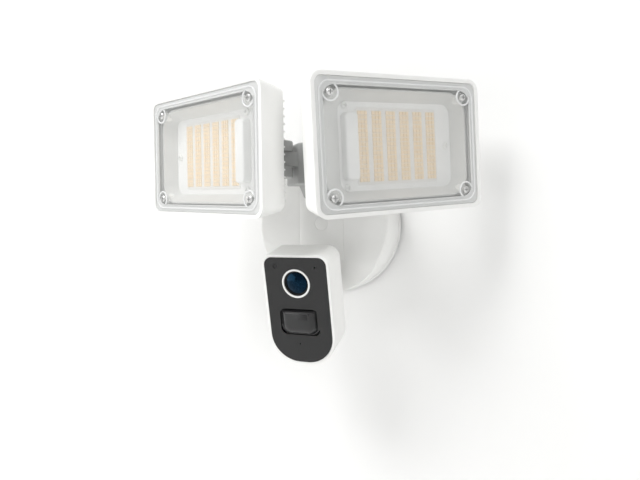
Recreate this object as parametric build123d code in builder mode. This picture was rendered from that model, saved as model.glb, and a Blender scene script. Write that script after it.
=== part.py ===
"""Wall-mounted floodlight security camera: a round base, two lamp heads and a camera unit.

The origin is the centre of the wall plane, +Z is up, +X is to the right as the light is seen
from the front, and -Y points out of the wall.  All sizes are in millimetres.  Each lamp head
hangs on a pan pin, a tilt pin and a swivel stem; the camera unit hangs on a pan and a tilt pin.
"""
import os
from math import cos, radians, sin, sqrt, tan

from build123d import *

# Clearances shared by every fit
RUN = 0.05          # radial gap of a pin in a hole that turns on it
SLIDE = 0.3         # gap between faces that move past each other
SEAT = 0.1          # gap round a piece that drops into its seat

# Base: a round canopy that covers a wall box
BASE_D = 127.0
BASE_FRONT_D = 121.0
BASE_DEPTH = 45.8
BASE_WALL = 3.0
BASE_EDGE_R = 2.5
GASKET_T = 2.0
GASKET_W = 9.0
PLATE_T = 3.0
PLATE_MARGIN = 1.0
PLATE_EDGE_R = 0.6
CREASE_Z = -31.0    # below this line the base's face leans back
CREASE_ANGLE = 15.0
STRIP_W = 42.0
STRIP_T = 1.5
PLUG_D = 12.0
PLUG_STUB = 1.6
PLUG_Z = 1.6

# Wall bracket and fixings
BRACKET_L = 104.0
BRACKET_W = 18.0
BRACKET_T = 1.8
BOX_SCREWS = 88.9   # spacing of a wall box's two screws
BOX_SLOT_R = 2.4
BOX_SLOT_L = 12.0
CENTRE_SCREW_D = 5.0
POST_D = 14.0
CENTRE_HEAD_D = 9.6
CENTRE_HEAD_T = 2.4
CENTRE_BORE = 6.0
BOSS_D = 7.0
SCREW_D = 3.0
SCREW_HEAD_D = 5.6
SCREW_HEAD_T = 2.2
SCREW_L = 9.0
CABLE_D = 12.0
CABLE_Z = -26.0
GROMMET_WALL = 3.0
GROMMET_LIP = 2.0
GROMMET_LIP_T = 1.2
PLATE_SCREW_X = 40.0
PLATE_SCREW_Z = 28.0
NECK_SCREWS = [(-9.0, 48.0), (9.0, 48.0), (-9.0, 31.0), (9.0, 31.0)]
ARM_SCREWS = [(-8.0, -49.0), (8.0, -49.0)]

# Driver electronics inside the base
BOARD_POST_X = 26.0
BOARD_POST_ROWS = (16.0, 44.0)
BOARD_POST_L = 7.0
DRIVER_W = 64.0
DRIVER_H = 38.0
DRIVER_Z = 30.0
DRIVER_TALL = 13.0
DRIVER_LOW = 5.0
TERMINAL_PLACE = (-24.0, -22.0)
TERMINAL_W = 22.0
TERMINAL_H = 12.0
TERMINAL_T = 10.0
TERMINAL_PITCH = 7.0
TERMINAL_HOLE_D = 4.0
TERMINAL_HOLE_DEPTH = 6.0

# Neck: the grey wedge that carries both lamp heads
PIVOT_X = 21.5
PIVOT_Y = -83.0
PIVOT_Z = 56.0
NECK_TOP = 70.0
NECK_BOTTOM = 35.0
NECK_FOOT_BOTTOM = 24.0
NECK_NOSE = 7.0     # half the width of the blunt nose
NECK_REAR_Y = -60.5
NECK_FACE_GAP = 12.0    # pan pin to the slanted face behind it
NECK_EDGE_R = 2.5
NECK_FOOT_W = 34.0
NECK_FOOT_TOP = 56.0
NECK_CHEEK = 7.0    # bevel behind each slanted face
NECK_RIM_R = 1.5
LUG_T = 12.0
LUG_R = 7.5
PAN_PIN_D = 6.0
TILT_PIN_D = 5.0

# Lamp head joints, measured from the pan pin along the head's own axis
YOKE_R = 10.0
YOKE_HALF = 15.5
YOKE_EDGE_R = 1.2
PIN_RECESS = 1.0    # pin ends below the faces round them
YOKE_WEB_BACK = 9.0
YOKE_WEB = 3.2
TILT_REACH = 20.0
TONGUE_T = 9.0
TONGUE_R = 7.0
EAR_T = 5.0
DISC_D = 30.0
DISC_T = 3.5
STEM_D = 15.0
NUT_D = 23.0
NUT_T = 3.0

# Lamp head
HEAD_W = 149.0
HEAD_H = 101.0
HEAD_CORNER_R = 9.0
HEAD_DEPTH = 25.0
HEAD_TAPER = 4.0
HEAD_RIM = 3.1
HEAD_FLOOR = 3.5
HEAD_REACH = 58.9   # pan pin to the rim's plane
HEAD_OFFSET_OUT = 31.3
HEAD_OFFSET_UP = 3.5
CAVITY_INSET = 4.0  # cavity wall inside the lens seat
CAVITY_CORNER_R = 4.0
CORNER_SCREW_IN_X = 12.0
CORNER_SCREW_IN_Y = 11.0
CORNER_BOSS_D = 9.0
FIN_COUNT = 14
FIN_PITCH = 5.8
FIN_T = 2.2
FIN_DEPTH = 9.0
FIN_W = 126.0
FIN_DRAFT = 3.0
POCKET_D = 46.0
LENS_INSET = 1.0
LENS_T = 2.4
LENS_GASKET_T = 1.2
LENS_RIDGE_W = 2.2
LENS_RIDGE_H = 0.7
LENS_FLANGE = 8.0
LENS_EYE_R = 7.2    # ridge that wraps each corner screw
SCREW_SINK = 1.2
TRAY_T = 1.2
TRAY_FLOOR_W = 106.0
TRAY_FLOOR_H = 68.0
TRAY_CORNER = 16.0
TRAY_FLOOR_CORNER = 5.0
TRAY_MARGIN = 3.0   # cavity wall to the tray's rim
BOARD_T = 1.6
BOARD_FRONT = 15.4  # rim to the light board's face
BOARD_MARGIN = 0.5
BOARD_OUT = 5.5     # tray floor and board outwards of the head's middle
LIGHT_BOARD_R = 8.0
BOARD_CORNER_R = 3.0
BOARD_SCREW_IN = 47.0
BOARD_SCREW_OUT = (46.0, 30.0)
LED_PANEL_W = 74.0
LED_PANEL_H = 57.0
LED_PANEL_T = 0.8
LED_STRIPS = 6
LED_STRIP_PITCH = 12.6
LED_STRIP_W = 6.0
LED_STRIP_T = 1.2
LED_STRIP_L = 53.0
WIRE_COVER_W = 11.0
WIRE_COVER_H = 49.0
WIRE_COVER_T = 7.0
WIRE_COVER_X = 44.0
WIRE_COVER_CORNER = 3.0
BOARD_SCREW_DEPTH = 3.2

# Where each head stands at rest: pan outwards, tilt down and roll of the outer end upwards
LEFT_REST = (21.9, 2.7, 2.4)
RIGHT_REST = (47.4, 2.9, 4.0)

# Camera unit
CAM_PIVOT_Y = -53.0
CAM_FOOT_T = 2.5
CAM_PIVOT_Z = -49.0
CAM_LUG_R = 6.0
CAM_LUG_T = 8.0
CAM_YOKE_R = 6.5
CAM_YOKE_HALF = 9.0
CAM_WEB_BACK = 6.8
CAM_WEB = 2.4
CAM_TILT_REACH = 15.0
CAM_TONGUE_T = 7.0
CAM_TONGUE_R = 5.0
CAM_PIN_D = 4.0
CAM_EAR_T = 4.0
CAM_CLEVIS_T = 2.5
CAM_TILT_REST = 13.0
CAM_W = 57.0
CAM_H = 92.0
CAM_TOP_R = 9.0
CAM_BOTTOM_R = 25.0
CAM_FRONT_T = 12.0
CAM_REAR_T = 28.5
CAM_SIDE_T = 15.5
CAM_REAR_TAPER = 8.0
CAM_WALL = 2.0
CAM_POCKET_W = 27.0
CAM_POCKET_H = 31.0
CAM_POCKET_DEPTH = 15.5
CAM_REACH = 33.7    # tilt pin to the unit's front plane
CAM_DROP = 10.3     # tilt pin up above the unit's middle
FACE_MARGIN = 2.5
FACE_T = 2.0
FACE_PROUD = 0.4
LENS_UP = 22.5
LENS_RING_D = 23.5
LENS_BORE_D = 20.5
LENS_BARREL_D = 14.0
LENS_GLASS_D = 15.0
LENS_GLASS_DEPTH = 2.5
PIR_W = 33.0
PIR_H = 21.5
PIR_UP = -9.5
PIR_BULGE = 5.0
PIR_CORNER_R = 5.0
LIGHT_SENSOR_D = 3.8
LIGHT_SENSOR_SPOT = (-16.5, 36.5)
MIC_D = 1.4
MIC_SPOTS = [(16.8, 36.0), (-1.5, -28.0)]
CAM_BOSSES = [(-19.5, 33.0), (19.5, 33.0), (-15.0, -34.0), (15.0, -34.0)]
CAM_BOSS_D = 6.4
CAM_SCREW_FLOOR = 7.0
CAM_SCREW_SINK = 5.0
CAM_EDGE = 1.2
BOARD_DEPTH = 19.0
CAM_BOARD_W = 31.0
CAM_BOARD_H = 58.0
CAM_BOARD_UP = 3.0
SENSOR_W = 6.4
SENSOR_T = 1.2
PIR_CAN_D = 9.2
PIR_CAN_T = 5.0
SPEAKER_D = 14.0
SPEAKER_T = 4.0
SPEAKER_UP = -17.0

# Card door and reset button in the unit's left side
DOOR_L = 12.0
DOOR_H = 9.0
DOOR_T = 1.6
DOOR_DEPTH = 20.5
DOOR_UP = -8.0
DOOR_PIN_D = 1.2
DOOR_PIN_L = 1.5
BUTTON_D = 5.0
BUTTON_UP = 8.0
BUTTON_PROUD = 0.9
BUTTON_COLLAR = 1.0
BUTTON_COLLAR_T = 1.2
PAD_T = 2.0


def lamp_planes(side, rest):
    """The arm plane (level, at the pan pin) and the front plane (on the rim) of one head."""
    pan, tilt, roll = (radians(value) for value in rest)
    pivot = Vector(side * PIVOT_X, PIVOT_Y, PIVOT_Z)
    up = Vector(0, 0, 1)
    level = Vector(side * sin(pan), -cos(pan), 0)
    across = Vector(cos(pan), side * sin(pan), 0)
    arm = Plane(origin=pivot, x_dir=across, z_dir=level)
    ahead = level * cos(tilt) - up * sin(tilt)
    above = up * cos(tilt) + level * sin(tilt)
    turned = across * cos(roll) + above * (side * sin(roll))
    hinge = pivot + level * TILT_REACH
    swivel = Plane(origin=hinge, x_dir=across, z_dir=ahead)
    front = Plane(origin=hinge, x_dir=turned, z_dir=ahead)
    front = front.offset(HEAD_REACH - TILT_REACH)
    front.origin = front.from_local_coords(
        Vector(side * HEAD_OFFSET_OUT, HEAD_OFFSET_UP, 0))
    return arm, swivel, front


def on_front(x, z, y):
    """A vertical sketch plane at depth y, seen from the front, centred on x and z."""
    return Plane(origin=(x, y, z), x_dir=(1, 0, 0), z_dir=(0, -1, 0))


def canopy(back_y, front_y, back_r, front_r, edge_r):
    """The round base's solid outline between two depths, with its leaning lower face."""
    fall = (back_r + CREASE_Z + 1) * tan(radians(CREASE_ANGLE))
    low = -back_r - 1
    with BuildPart() as shape:
        with BuildSketch(on_front(0, 0, back_y)):
            Circle(back_r)
        with BuildSketch(on_front(0, 0, front_y)):
            Circle(front_r)
        loft()
        if edge_r > 0:
            fillet(shape.edges().filter_by(GeomType.CIRCLE).sort_by(Axis.Y)[0], edge_r)
        with BuildSketch(Plane.YZ):
            with BuildLine():
                Polyline((front_y, CREASE_Z), (front_y - 1, CREASE_Z), (front_y - 1, low),
                         (front_y + fall, low), close=True)
            make_face()
        extrude(amount=back_r, both=True, mode=Mode.SUBTRACT)
    return shape.part


def write(piece, name):
    """Labels a finished piece and writes its file."""
    piece.part.label = name
    export_step(piece.part, "parts/" + name + ".step")


os.makedirs("parts", exist_ok=True)

# ---------------------------------------------------------------- base
BASE_R = BASE_D / 2
BASE_FRONT_R = BASE_FRONT_D / 2
PLATE_BACK = -GASKET_T
PLATE_FRONT = PLATE_BACK - PLATE_T
FRONT_Y = -BASE_DEPTH
INNER_Y = FRONT_Y + BASE_WALL
STRIP_BACK = FRONT_Y + STRIP_T
SHELL_R = BASE_R - PLATE_MARGIN
SCREW_R = SCREW_D / 2
SCREW_HEAD_R = SCREW_HEAD_D / 2
PLATE_SCREWS = [(x * PLATE_SCREW_X, z * PLATE_SCREW_Z) for x in (-1, 1) for z in (-1, 1)]
BOARD_POSTS = [(x * BOARD_POST_X, z) for x in (-1, 1) for z in BOARD_POST_ROWS]
GROMMET_R = CABLE_D / 2 + GROMMET_WALL
OUTER_SHAPE = canopy(PLATE_FRONT, FRONT_Y, SHELL_R, BASE_FRONT_R, BASE_EDGE_R)
INNER_SHAPE = canopy(PLATE_FRONT, INNER_Y, SHELL_R - BASE_WALL, BASE_FRONT_R - BASE_WALL, 0)
ARM_FACE_Y = FRONT_Y + (CREASE_Z - CAM_PIVOT_Z) * tan(radians(CREASE_ANGLE))
ARM_FACE = Plane(origin=(0, ARM_FACE_Y, CAM_PIVOT_Z), x_dir=(1, 0, 0),
                 z_dir=(0, -cos(radians(CREASE_ANGLE)), -sin(radians(CREASE_ANGLE))))
ARM_WALL = BASE_WALL * cos(radians(CREASE_ANGLE))

with BuildPart() as wall_gasket:
    with BuildSketch(on_front(0, 0, 0)):
        Circle(BASE_R - PLATE_MARGIN)
        Circle(BASE_R - PLATE_MARGIN - GASKET_W, mode=Mode.SUBTRACT)
    extrude(amount=GASKET_T)
write(wall_gasket, "wall_gasket")

with BuildPart() as back_plate:
    with BuildSketch(on_front(0, 0, PLATE_BACK)):
        Circle(BASE_R)
    extrude(amount=PLATE_T)
    fillet(back_plate.edges().filter_by(GeomType.CIRCLE), PLATE_EDGE_R)
    with BuildSketch(on_front(0, 0, PLATE_FRONT)):
        with Locations(*BOARD_POSTS):
            Circle(BOSS_D / 2)
    extrude(amount=BOARD_POST_L)
    with BuildSketch(on_front(0, 0, PLATE_BACK)):
        with Locations((0, CABLE_Z)):
            Circle(GROMMET_R)
        with Locations((0, PLUG_Z)):
            Circle(CENTRE_SCREW_D / 2 + SLIDE)
        with Locations(*PLATE_SCREWS):
            Circle(SCREW_R + SEAT)
    extrude(amount=PLATE_T, mode=Mode.SUBTRACT)
    with BuildSketch(on_front(0, 0, PLATE_BACK)):
        with Locations(*PLATE_SCREWS):
            Circle(SCREW_HEAD_R + SEAT)
    extrude(amount=SCREW_HEAD_T - SEAT, mode=Mode.SUBTRACT)
write(back_plate, "back_plate")

with BuildPart() as mounting_bracket:
    with BuildSketch(on_front(0, 0, 0)):
        SlotOverall(BRACKET_L, BRACKET_W)
        with Locations((-BOX_SCREWS / 2, 0), (BOX_SCREWS / 2, 0)):
            SlotOverall(BOX_SLOT_L, BOX_SLOT_R * 2, mode=Mode.SUBTRACT)
        with Locations((0, PLUG_Z)):
            Circle(CENTRE_SCREW_D / 2, mode=Mode.SUBTRACT)
    extrude(amount=BRACKET_T)
write(mounting_bracket, "mounting_bracket")

with BuildPart() as base_housing:
    add(OUTER_SHAPE)
    add(INNER_SHAPE, mode=Mode.SUBTRACT)
    with BuildSketch(on_front(0, 0, PLATE_FRONT)):
        with Locations((0, PLUG_Z)):
            Circle(POST_D / 2)
        with Locations(*PLATE_SCREWS):
            Circle(BOSS_D / 2)
    extrude(amount=BASE_DEPTH + PLATE_FRONT - BASE_WALL / 2)
    with BuildSketch(on_front(0, (CREASE_Z + BASE_R) / 2, STRIP_BACK)):
        Rectangle(STRIP_W + 2 * SEAT, BASE_R - CREASE_Z)
    extrude(amount=STRIP_T, mode=Mode.SUBTRACT)
    with BuildSketch(on_front(0, 0, PLATE_FRONT)):
        with Locations((0, PLUG_Z)):
            Circle(CENTRE_SCREW_D / 2 + SEAT)
        with Locations(*NECK_SCREWS):
            Circle(SCREW_R + SEAT)
    extrude(amount=BASE_DEPTH, mode=Mode.SUBTRACT)
    with BuildSketch(on_front(0, 0, FRONT_Y)):
        with Locations((0, PLUG_Z)):
            Circle(CENTRE_HEAD_D / 2 + SEAT)
    extrude(amount=-CENTRE_BORE, mode=Mode.SUBTRACT)
    with BuildSketch(on_front(0, 0, PLATE_FRONT)):
        with Locations(*PLATE_SCREWS):
            Circle(SCREW_R)
    extrude(amount=SCREW_L, mode=Mode.SUBTRACT)
    with BuildSketch(ARM_FACE):
        with Locations(*[(x, (z - CAM_PIVOT_Z) / cos(radians(CREASE_ANGLE))) for x, z in ARM_SCREWS]):
            Circle(SCREW_R + SEAT)
    extrude(amount=-BASE_WALL * 2, mode=Mode.SUBTRACT)
write(base_housing, "base_housing")

with BuildPart() as strip_cover:
    add(OUTER_SHAPE)
    with BuildSketch(on_front(0, (CREASE_Z + BASE_R) / 2 + SEAT, STRIP_BACK)):
        Rectangle(STRIP_W, BASE_R - CREASE_Z)
        with Locations((0, PLUG_Z - (CREASE_Z + BASE_R) / 2 - SEAT)):
            Circle(PLUG_D / 2 + SEAT, mode=Mode.SUBTRACT)
        with Locations(*[(x, z - (CREASE_Z + BASE_R) / 2 - SEAT) for x, z in NECK_SCREWS]):
            Circle(SCREW_R + SEAT, mode=Mode.SUBTRACT)
    extrude(amount=STRIP_T, mode=Mode.INTERSECT)
write(strip_cover, "strip_cover")

with BuildPart() as centre_plug:
    with BuildSketch(on_front(0, PLUG_Z, STRIP_BACK)):
        Circle(PLUG_D / 2)
    extrude(amount=STRIP_T)
    with BuildSketch(on_front(0, PLUG_Z, STRIP_BACK)):
        Circle(CENTRE_HEAD_D / 2)
    extrude(amount=-PLUG_STUB)
write(centre_plug, "centre_plug")

with BuildPart() as centre_screw:
    with BuildSketch(on_front(0, PLUG_Z, FRONT_Y + CENTRE_BORE)):
        Circle(CENTRE_HEAD_D / 2 - SEAT)
    extrude(amount=CENTRE_HEAD_T)
    with BuildSketch(on_front(0, PLUG_Z, FRONT_Y + CENTRE_BORE)):
        Circle(CENTRE_SCREW_D / 2)
    extrude(amount=-(BASE_DEPTH - CENTRE_BORE - SEAT))
write(centre_screw, "centre_screw")

with BuildPart() as housing_screws:
    with BuildSketch(on_front(0, 0, PLATE_BACK - SCREW_HEAD_T + SEAT)):
        with Locations(*PLATE_SCREWS):
            Circle(SCREW_HEAD_R)
    extrude(amount=-SCREW_HEAD_T + 2 * SEAT)
    with BuildSketch(on_front(0, 0, PLATE_BACK - SCREW_HEAD_T + SEAT)):
        with Locations(*PLATE_SCREWS):
            Circle(SCREW_R)
    extrude(amount=SCREW_L)
    with BuildSketch(on_front(0, 0, INNER_Y)):
        with Locations(*NECK_SCREWS):
            Circle(SCREW_HEAD_R)
    extrude(amount=-SCREW_HEAD_T)
    with BuildSketch(on_front(0, 0, INNER_Y)):
        with Locations(*NECK_SCREWS):
            Circle(SCREW_R)
    extrude(amount=SCREW_L)
    with BuildSketch(ARM_FACE.offset(-ARM_WALL)):
        with Locations(*[(x, (z - CAM_PIVOT_Z) / cos(radians(CREASE_ANGLE))) for x, z in ARM_SCREWS]):
            Circle(SCREW_HEAD_R)
    extrude(amount=-SCREW_HEAD_T)
    with BuildSketch(ARM_FACE.offset(-ARM_WALL)):
        with Locations(*[(x, (z - CAM_PIVOT_Z) / cos(radians(CREASE_ANGLE))) for x, z in ARM_SCREWS]):
            Circle(SCREW_R)
    extrude(amount=ARM_WALL + CAM_FOOT_T - SEAT)
write(housing_screws, "housing_screws")

DRIVER_BACK = PLATE_FRONT - BOARD_POST_L
DRIVER_FRONT = DRIVER_BACK - BOARD_T
with BuildPart() as driver_board:
    with BuildSketch(on_front(0, DRIVER_Z, DRIVER_BACK)):
        RectangleRounded(DRIVER_W, DRIVER_H, BOARD_CORNER_R)
    extrude(amount=BOARD_T)
write(driver_board, "driver_board")

with BuildPart() as driver_parts:
    with BuildSketch(on_front(0, 0, DRIVER_FRONT)):
        with Locations((-20, 38)):
            Rectangle(17, 15)
        with Locations((22, 40), (22, 26)):
            Circle(5)
        with Locations((2, 24)):
            RectangleRounded(12, 9, 1)
    extrude(amount=DRIVER_TALL)
    with BuildSketch(on_front(0, 0, DRIVER_FRONT)):
        with Locations((-20, 22), (4, 42)):
            Rectangle(12, 6)
    extrude(amount=DRIVER_LOW)
write(driver_parts, "driver_parts")

with BuildPart() as terminal_block:
    with BuildSketch(on_front(*TERMINAL_PLACE, PLATE_FRONT)):
        Rectangle(TERMINAL_W, TERMINAL_H)
    extrude(amount=TERMINAL_T)
    with BuildSketch(on_front(*TERMINAL_PLACE, PLATE_FRONT - TERMINAL_T)):
        with GridLocations(TERMINAL_PITCH, 1, 3, 1):
            Circle(TERMINAL_HOLE_D / 2)
    extrude(amount=-TERMINAL_HOLE_DEPTH, mode=Mode.SUBTRACT)
write(terminal_block, "terminal_block")

with BuildPart() as cable_grommet:
    with BuildSketch(on_front(0, CABLE_Z, PLATE_BACK)):
        Circle(GROMMET_R)
    extrude(amount=PLATE_T)
    with BuildSketch(on_front(0, CABLE_Z, PLATE_BACK)):
        Circle(GROMMET_R + GROMMET_LIP)
    extrude(amount=-GROMMET_LIP_T)
    with BuildSketch(on_front(0, CABLE_Z, PLATE_FRONT)):
        Circle(GROMMET_R + GROMMET_LIP)
    extrude(amount=GROMMET_LIP_T)
    with BuildSketch(on_front(0, CABLE_Z, PLATE_FRONT - GROMMET_LIP)):
        Circle(CABLE_D / 2)
    extrude(amount=-PLATE_T * 3, mode=Mode.SUBTRACT)
write(cable_grommet, "cable_grommet")

# ---------------------------------------------------------------- neck and camera arm
# The slanted faces run at 45 degrees, NECK_FACE_GAP behind each pan pin
FACE_LINE = PIVOT_Y - PIVOT_X + NECK_FACE_GAP * sqrt(2)
NECK_SIDE_X = NECK_REAR_Y - FACE_LINE
NECK_BACK_Y = NECK_REAR_Y + NECK_CHEEK
LUG_BACK = NECK_FACE_GAP + LUG_R

with BuildPart() as neck:
    with BuildSketch(Plane.XY.offset(NECK_BOTTOM)):
        with BuildLine():
            Polyline((-NECK_NOSE, NECK_NOSE + FACE_LINE), (NECK_NOSE, NECK_NOSE + FACE_LINE),
                     (NECK_SIDE_X, NECK_REAR_Y), (NECK_SIDE_X - NECK_CHEEK, NECK_BACK_Y),
                     (NECK_CHEEK - NECK_SIDE_X, NECK_BACK_Y), (-NECK_SIDE_X, NECK_REAR_Y), close=True)
        make_face()
    extrude(amount=NECK_TOP - NECK_BOTTOM)
    fillet(neck.edges().filter_by(Axis.Z), NECK_EDGE_R)
    fillet(neck.faces().sort_by(Axis.Z)[-1].edges() + neck.faces().sort_by(Axis.Z)[0].edges(), NECK_RIM_R)
    with BuildSketch(on_front(0, (NECK_FOOT_BOTTOM + NECK_FOOT_TOP) / 2, FRONT_Y)):
        RectangleRounded(NECK_FOOT_W, NECK_FOOT_TOP - NECK_FOOT_BOTTOM, 4)
    with BuildSketch(on_front(0, (NECK_BOTTOM + NECK_TOP - 8) / 2 + 1, NECK_REAR_Y - 2)):
        RectangleRounded(NECK_FOOT_W, NECK_FOOT_TOP - NECK_BOTTOM, 4)
    loft()
    for side in (-1, 1):
        with BuildSketch(Plane.XY.offset(PIVOT_Z - LUG_T / 2)):
            with Locations((side * (PIVOT_X - LUG_BACK / 2 / sqrt(2)),
                            PIVOT_Y + LUG_BACK / 2 / sqrt(2))):
                SlotCenterToCenter(LUG_BACK, LUG_R * 2, rotation=-45 * side)
        extrude(amount=LUG_T)
    with BuildSketch(Plane.XY.offset(PIVOT_Z - LUG_T)):
        with Locations((-PIVOT_X, PIVOT_Y), (PIVOT_X, PIVOT_Y)):
            Circle(PAN_PIN_D / 2)
    extrude(amount=LUG_T * 2, mode=Mode.SUBTRACT)
    with BuildSketch(on_front(0, 0, FRONT_Y)):
        with Locations(*NECK_SCREWS):
            Circle(SCREW_R)
    extrude(amount=SCREW_L - BASE_WALL + SEAT, mode=Mode.SUBTRACT)
write(neck, "neck")

with BuildPart() as pan_pins:
    with BuildSketch(Plane.XY.offset(PIVOT_Z - YOKE_HALF + PIN_RECESS)):
        with Locations((-PIVOT_X, PIVOT_Y), (PIVOT_X, PIVOT_Y)):
            Circle(PAN_PIN_D / 2)
    extrude(amount=(YOKE_HALF - PIN_RECESS) * 2)
write(pan_pins, "pan_pins")

with BuildPart() as camera_arm:
    with BuildSketch(ARM_FACE):
        RectangleRounded(26, 17, 4)
    extrude(amount=CAM_FOOT_T)
    fillet(camera_arm.faces().sort_by(Axis.Y)[0].edges(), 1.2)
    with BuildSketch(Plane.XY.offset(CAM_PIVOT_Z - CAM_LUG_T / 2)):
        with Locations((0, (CAM_PIVOT_Y + ARM_FACE_Y - 2) / 2)):
            SlotCenterToCenter(ARM_FACE_Y - 2 - CAM_PIVOT_Y, CAM_LUG_R * 2, rotation=90)
        with Locations((0, CAM_PIVOT_Y)):
            Circle(CAM_PIN_D / 2, mode=Mode.SUBTRACT)
    extrude(amount=CAM_LUG_T)
    with BuildSketch(ARM_FACE):
        Rectangle(60, 40)
    extrude(amount=-20, mode=Mode.SUBTRACT)
    with BuildSketch(ARM_FACE):
        with Locations(*[(x, (z - CAM_PIVOT_Z) / cos(radians(CREASE_ANGLE))) for x, z in ARM_SCREWS]):
            Circle(SCREW_R)
    extrude(amount=CAM_FOOT_T - SEAT, mode=Mode.SUBTRACT)
write(camera_arm, "camera_arm")

with BuildPart() as camera_pan_pin:
    with BuildSketch(Plane.XY.offset(CAM_PIVOT_Z - CAM_YOKE_HALF + PIN_RECESS / 2)):
        with Locations((0, CAM_PIVOT_Y)):
            Circle(CAM_PIN_D / 2)
    extrude(amount=(CAM_YOKE_HALF - PIN_RECESS / 2) * 2)
write(camera_pan_pin, "camera_pan_pin")

# ---------------------------------------------------------------- lamp heads
OUTLINE_W = HEAD_W - 2 * HEAD_RIM
OUTLINE_H = HEAD_H - 2 * HEAD_RIM
SEAT_DEPTH = LENS_INSET + LENS_T + LENS_GASKET_T
CAVITY_W = OUTLINE_W - 2 * CAVITY_INSET
CAVITY_H = OUTLINE_H - 2 * CAVITY_INSET
FLOOR_DEPTH = HEAD_DEPTH - HEAD_FLOOR
BOARD_BACK = BOARD_FRONT + BOARD_T
BOARD_W = TRAY_FLOOR_W + 2 * BOARD_MARGIN
BOARD_H = TRAY_FLOOR_H + 2 * BOARD_MARGIN
CORNER_SCREW_X = OUTLINE_W / 2 - CORNER_SCREW_IN_X
CORNER_SCREW_Y = OUTLINE_H / 2 - CORNER_SCREW_IN_Y
CORNER_SCREWS = [(x * CORNER_SCREW_X, y * CORNER_SCREW_Y) for x in (-1, 1) for y in (-1, 1)]
TRAY_TOP_W = CAVITY_W - 2 * TRAY_MARGIN
TRAY_TOP_H = CAVITY_H - 2 * TRAY_MARGIN
STEM_HOLE_R = STEM_D / 2 + RUN
DISC_BACK = TONGUE_R + 1.0
STEM_START = DISC_BACK + DISC_T
HEAD_BACK = HEAD_REACH - TILT_REACH - HEAD_DEPTH
NUT_BACK = HEAD_BACK + HEAD_FLOOR + SLIDE
LUG_GAP = LUG_T / 2 + SLIDE
EAR_IN = TONGUE_T / 2 + SLIDE

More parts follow.
